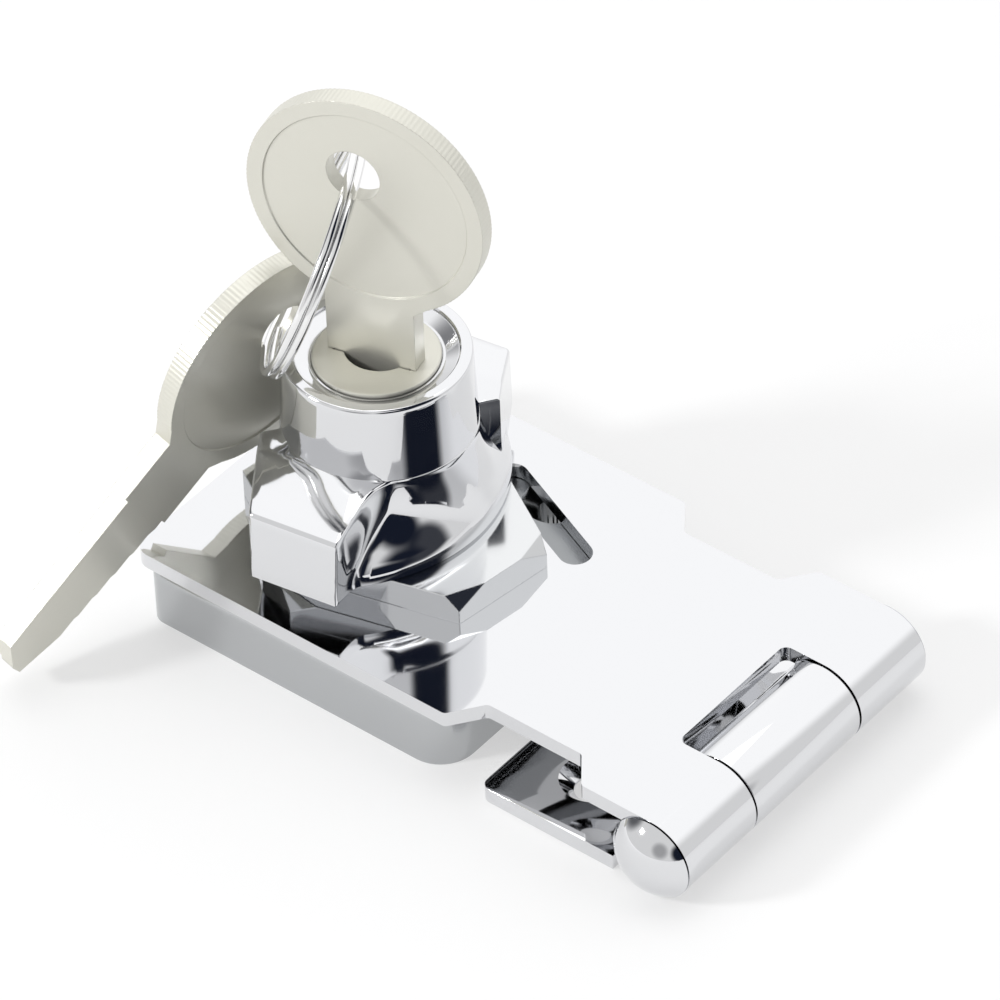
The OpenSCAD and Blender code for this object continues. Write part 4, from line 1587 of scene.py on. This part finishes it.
@dataclass
class Studio:
    """Floor, light and camera.

    Attributes:
        eye: Place of the camera, in metres.
        right: Direction to the right of the picture.
        up: Direction to its upper edge.
        lens: Focal length, in millimetres.
        sensor: Width of the camera's sensor, in millimetres.
        clip: Nearest and farthest distance that it sees, in metres.
        aim: Point that the lamps are turned to, in metres.
        floor_size: Half the floor's width, in metres.
        floor_z: Height of the floor, just under the lock.
        floor_pale: How pale the floor is.
        floor_glow: Share of plain white in what the camera and mirrors see of the floor.
        world_strength: Strength of the room's light.
        lamps: Name, place and width in metres, and power in watts, of each lamp.
        patches: Bright and dark patches of the room.
    """

    eye: Point3 = (0.3329, -0.3776, 0.4584)
    right: Point3 = (0.7797, 0.6253, -0.0289)
    up: Point3 = (-0.3999, 0.5331, 0.7455)
    lens: float = 267.9
    sensor: float = 36.0
    clip: Point = (0.01, 20.0)
    aim: Point3 = (0.01, 0.0, 0.015)
    floor_size: float = 3.0
    floor_z: float = -0.02
    floor_pale: float = 0.93
    floor_glow: float = 0.5
    world_strength: float = 0.84
    lamps: tuple[tuple[str, Point3, float, float], ...] = (
        ("overhead_softbox", (-0.15, 0.2, 0.9), 0.5, 0.8),
        ("side_softbox", (-0.45, -0.6, 0.45), 0.12, 3.4),
    )
    patches: tuple[Patch, ...] = (
        Patch(105.0, 50.0, 42.0, 60.0, -0.5),
        Patch(-1.0, 42.0, 14.0, 22.0, 1.0),
        Patch(-4.0, 64.0, 12.0, 22.0, 1.0),
        Patch(2.0, 20.0, 12.0, 22.0, 0.95),
        Patch(-30.0, 14.0, 15.0, 26.0, 1.0),
        Patch(-172.0, 25.0, 12.0, 30.0, 0.85),
        Patch(-75.0, 18.0, 6.0, 20.0, 0.5),
    )

    def build(self) -> None:
        """Builds everything that isn't part of the lock."""
        self.build_floor()
        self.build_world()
        self.build_lamps()
        self.build_camera()

    def build_floor(self) -> None:
        """Lays the pale floor."""
        s, z = self.floor_size / MM, self.floor_z
        floor = build_mesh("floor", [(-s, -s, z), (s, -s, z), (s, s, z), (-s, s, z)], [(0, 1, 2, 3)])
        made = bpy.data.materials.new("pale_floor")
        made.use_nodes = True
        nodes, links = made.node_tree.nodes, made.node_tree.links
        shader = nodes["Principled BSDF"]
        shader.inputs["Base Color"].default_value = (*(self.floor_pale,) * 3, 1.0)
        shader.inputs["Roughness"].default_value = 0.9
        shader.inputs["Specular IOR Level"].default_value = 0.0
        glow = nodes.new("ShaderNodeEmission")
        glow.inputs["Color"].default_value = WHITE
        glow.inputs["Strength"].default_value = 1.0
        path = nodes.new("ShaderNodeLightPath")
        seen = path.outputs["Is Camera Ray"]
        for kind in ("Is Glossy Ray", "Is Transmission Ray"):
            seen = figure(made.node_tree, Sum.LARGER, seen, path.outputs[kind])
        share = figure(made.node_tree, Sum.TIMES, seen, self.floor_glow)
        mix = nodes.new("ShaderNodeMixShader")
        links.new(share, mix.inputs["Fac"])
        links.new(shader.outputs[0], mix.inputs[1])
        links.new(glow.outputs[0], mix.inputs[2])
        links.new(mix.outputs[0], nodes["Material Output"].inputs["Surface"])
        floor.data.materials.append(made)

    def build_world(self) -> None:
        """Makes a white room with the soft patches that chrome shows as bands."""
        world = bpy.data.worlds.new("studio_room")
        bpy.context.scene.world = world
        world.use_nodes = True
        nodes, links = world.node_tree.nodes, world.node_tree.links
        way = nodes.new("ShaderNodeTexCoord").outputs["Generated"]
        light = None
        for patch in self.patches:
            dot = nodes.new("ShaderNodeVectorMath")
            dot.operation = "DOT_PRODUCT"
            dot.inputs[1].default_value = patch.direction()
            links.new(way, dot.inputs[0])
            fade = nodes.new("ShaderNodeMapRange")
            fade.interpolation_type = "SMOOTHSTEP"
            fade.inputs["From Min"].default_value = math.cos(math.radians(patch.outer))
            fade.inputs["From Max"].default_value = math.cos(math.radians(patch.inner))
            fade.inputs["To Min"].default_value = 1.0
            fade.inputs["To Max"].default_value = 1.0 - patch.depth
            links.new(dot.outputs["Value"], fade.inputs["Value"])
            here = fade.outputs["Result"]
            light = here if light is None else figure(world.node_tree, Sum.TIMES, light, here)
        tint = nodes.new("ShaderNodeMix")
        tint.data_type = "RGBA"
        tint.inputs["A"].default_value = DEEP_SHADE
        tint.inputs["B"].default_value = WHITE
        links.new(light, tint.inputs["Factor"])
        links.new(tint.outputs["Result"], nodes["Background"].inputs["Color"])
        least = figure(world.node_tree, Sum.LARGER, light, 1.0)
        power = figure(world.node_tree, Sum.TIMES, least, self.world_strength)
        links.new(power, nodes["Background"].inputs["Strength"])

    def build_lamps(self) -> None:
        """Hangs the soft lamps."""
        for name, spot, size, power in self.lamps:
            data = bpy.data.lights.new(name, "AREA")
            data.shape = "SQUARE"
            data.size = size
            data.energy = power
            lamp = bpy.data.objects.new(name, data)
            bpy.context.scene.collection.objects.link(lamp)
            lamp.location = spot
            lamp.rotation_mode = "QUATERNION"
            lamp.rotation_quaternion = (Vector(self.aim) - Vector(spot)).to_track_quat("-Z", "Y")

    def build_camera(self) -> None:
        """Sets the camera to the viewing angle."""
        data = bpy.data.cameras.new("camera")
        data.lens = self.lens
        data.sensor_width = self.sensor
        data.clip_start, data.clip_end = self.clip
        camera = bpy.data.objects.new("camera", data)
        bpy.context.scene.collection.objects.link(camera)
        right, up = Vector(self.right).normalized(), Vector(self.up).normalized()
        back = right.cross(up)
        spin = Matrix((right, up, back)).transposed()
        camera.matrix_world = Matrix.Translation(self.eye) @ spin.to_4x4()
        bpy.context.scene.camera = camera


class CadFinishes:
    """Finishes of the nodes that stay as they were modelled."""

    KEPT: dict[str, Metal] = {
        "collar": CAST_CHROME, "lock_cylinder": CHROME_CUT, "plug_retainer": STEEL, "circlip": STEEL,
        "tongue": STEEL, "tongue_washer": STEEL, "tongue_screw": STEEL, "locking_pin": STEEL,
        **{f"wafer_{i}": BRASS for i in range(1, 6)},
    }

    def apply(self) -> None:
        """Puts each finish on its node."""
        for name, metal in self.KEPT.items():
            dress(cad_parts[name], metal)
            LOG.info("%s dressed in %s", name, metal.name)


def main() -> None:
    """Builds every sub-assembly in order."""
    logging.basicConfig(level=logging.INFO, format="%(message)s")
    view = bpy.context.scene.view_settings
    view.view_transform = "Standard"
    CadFinishes().apply()
    hinge = Hinge()
    steps: Sequence[Callable[[], None]] = (
        hinge.build_pin, Leaf(hinge).build, FixedLeaf(hinge).build, StrikeBox().build,
        Knob().build, Plug().build, Keys().build, InnerWorks().build, Studio().build,
    )
    for step in steps:
        step()


if __name__ == "__main__":
    main()
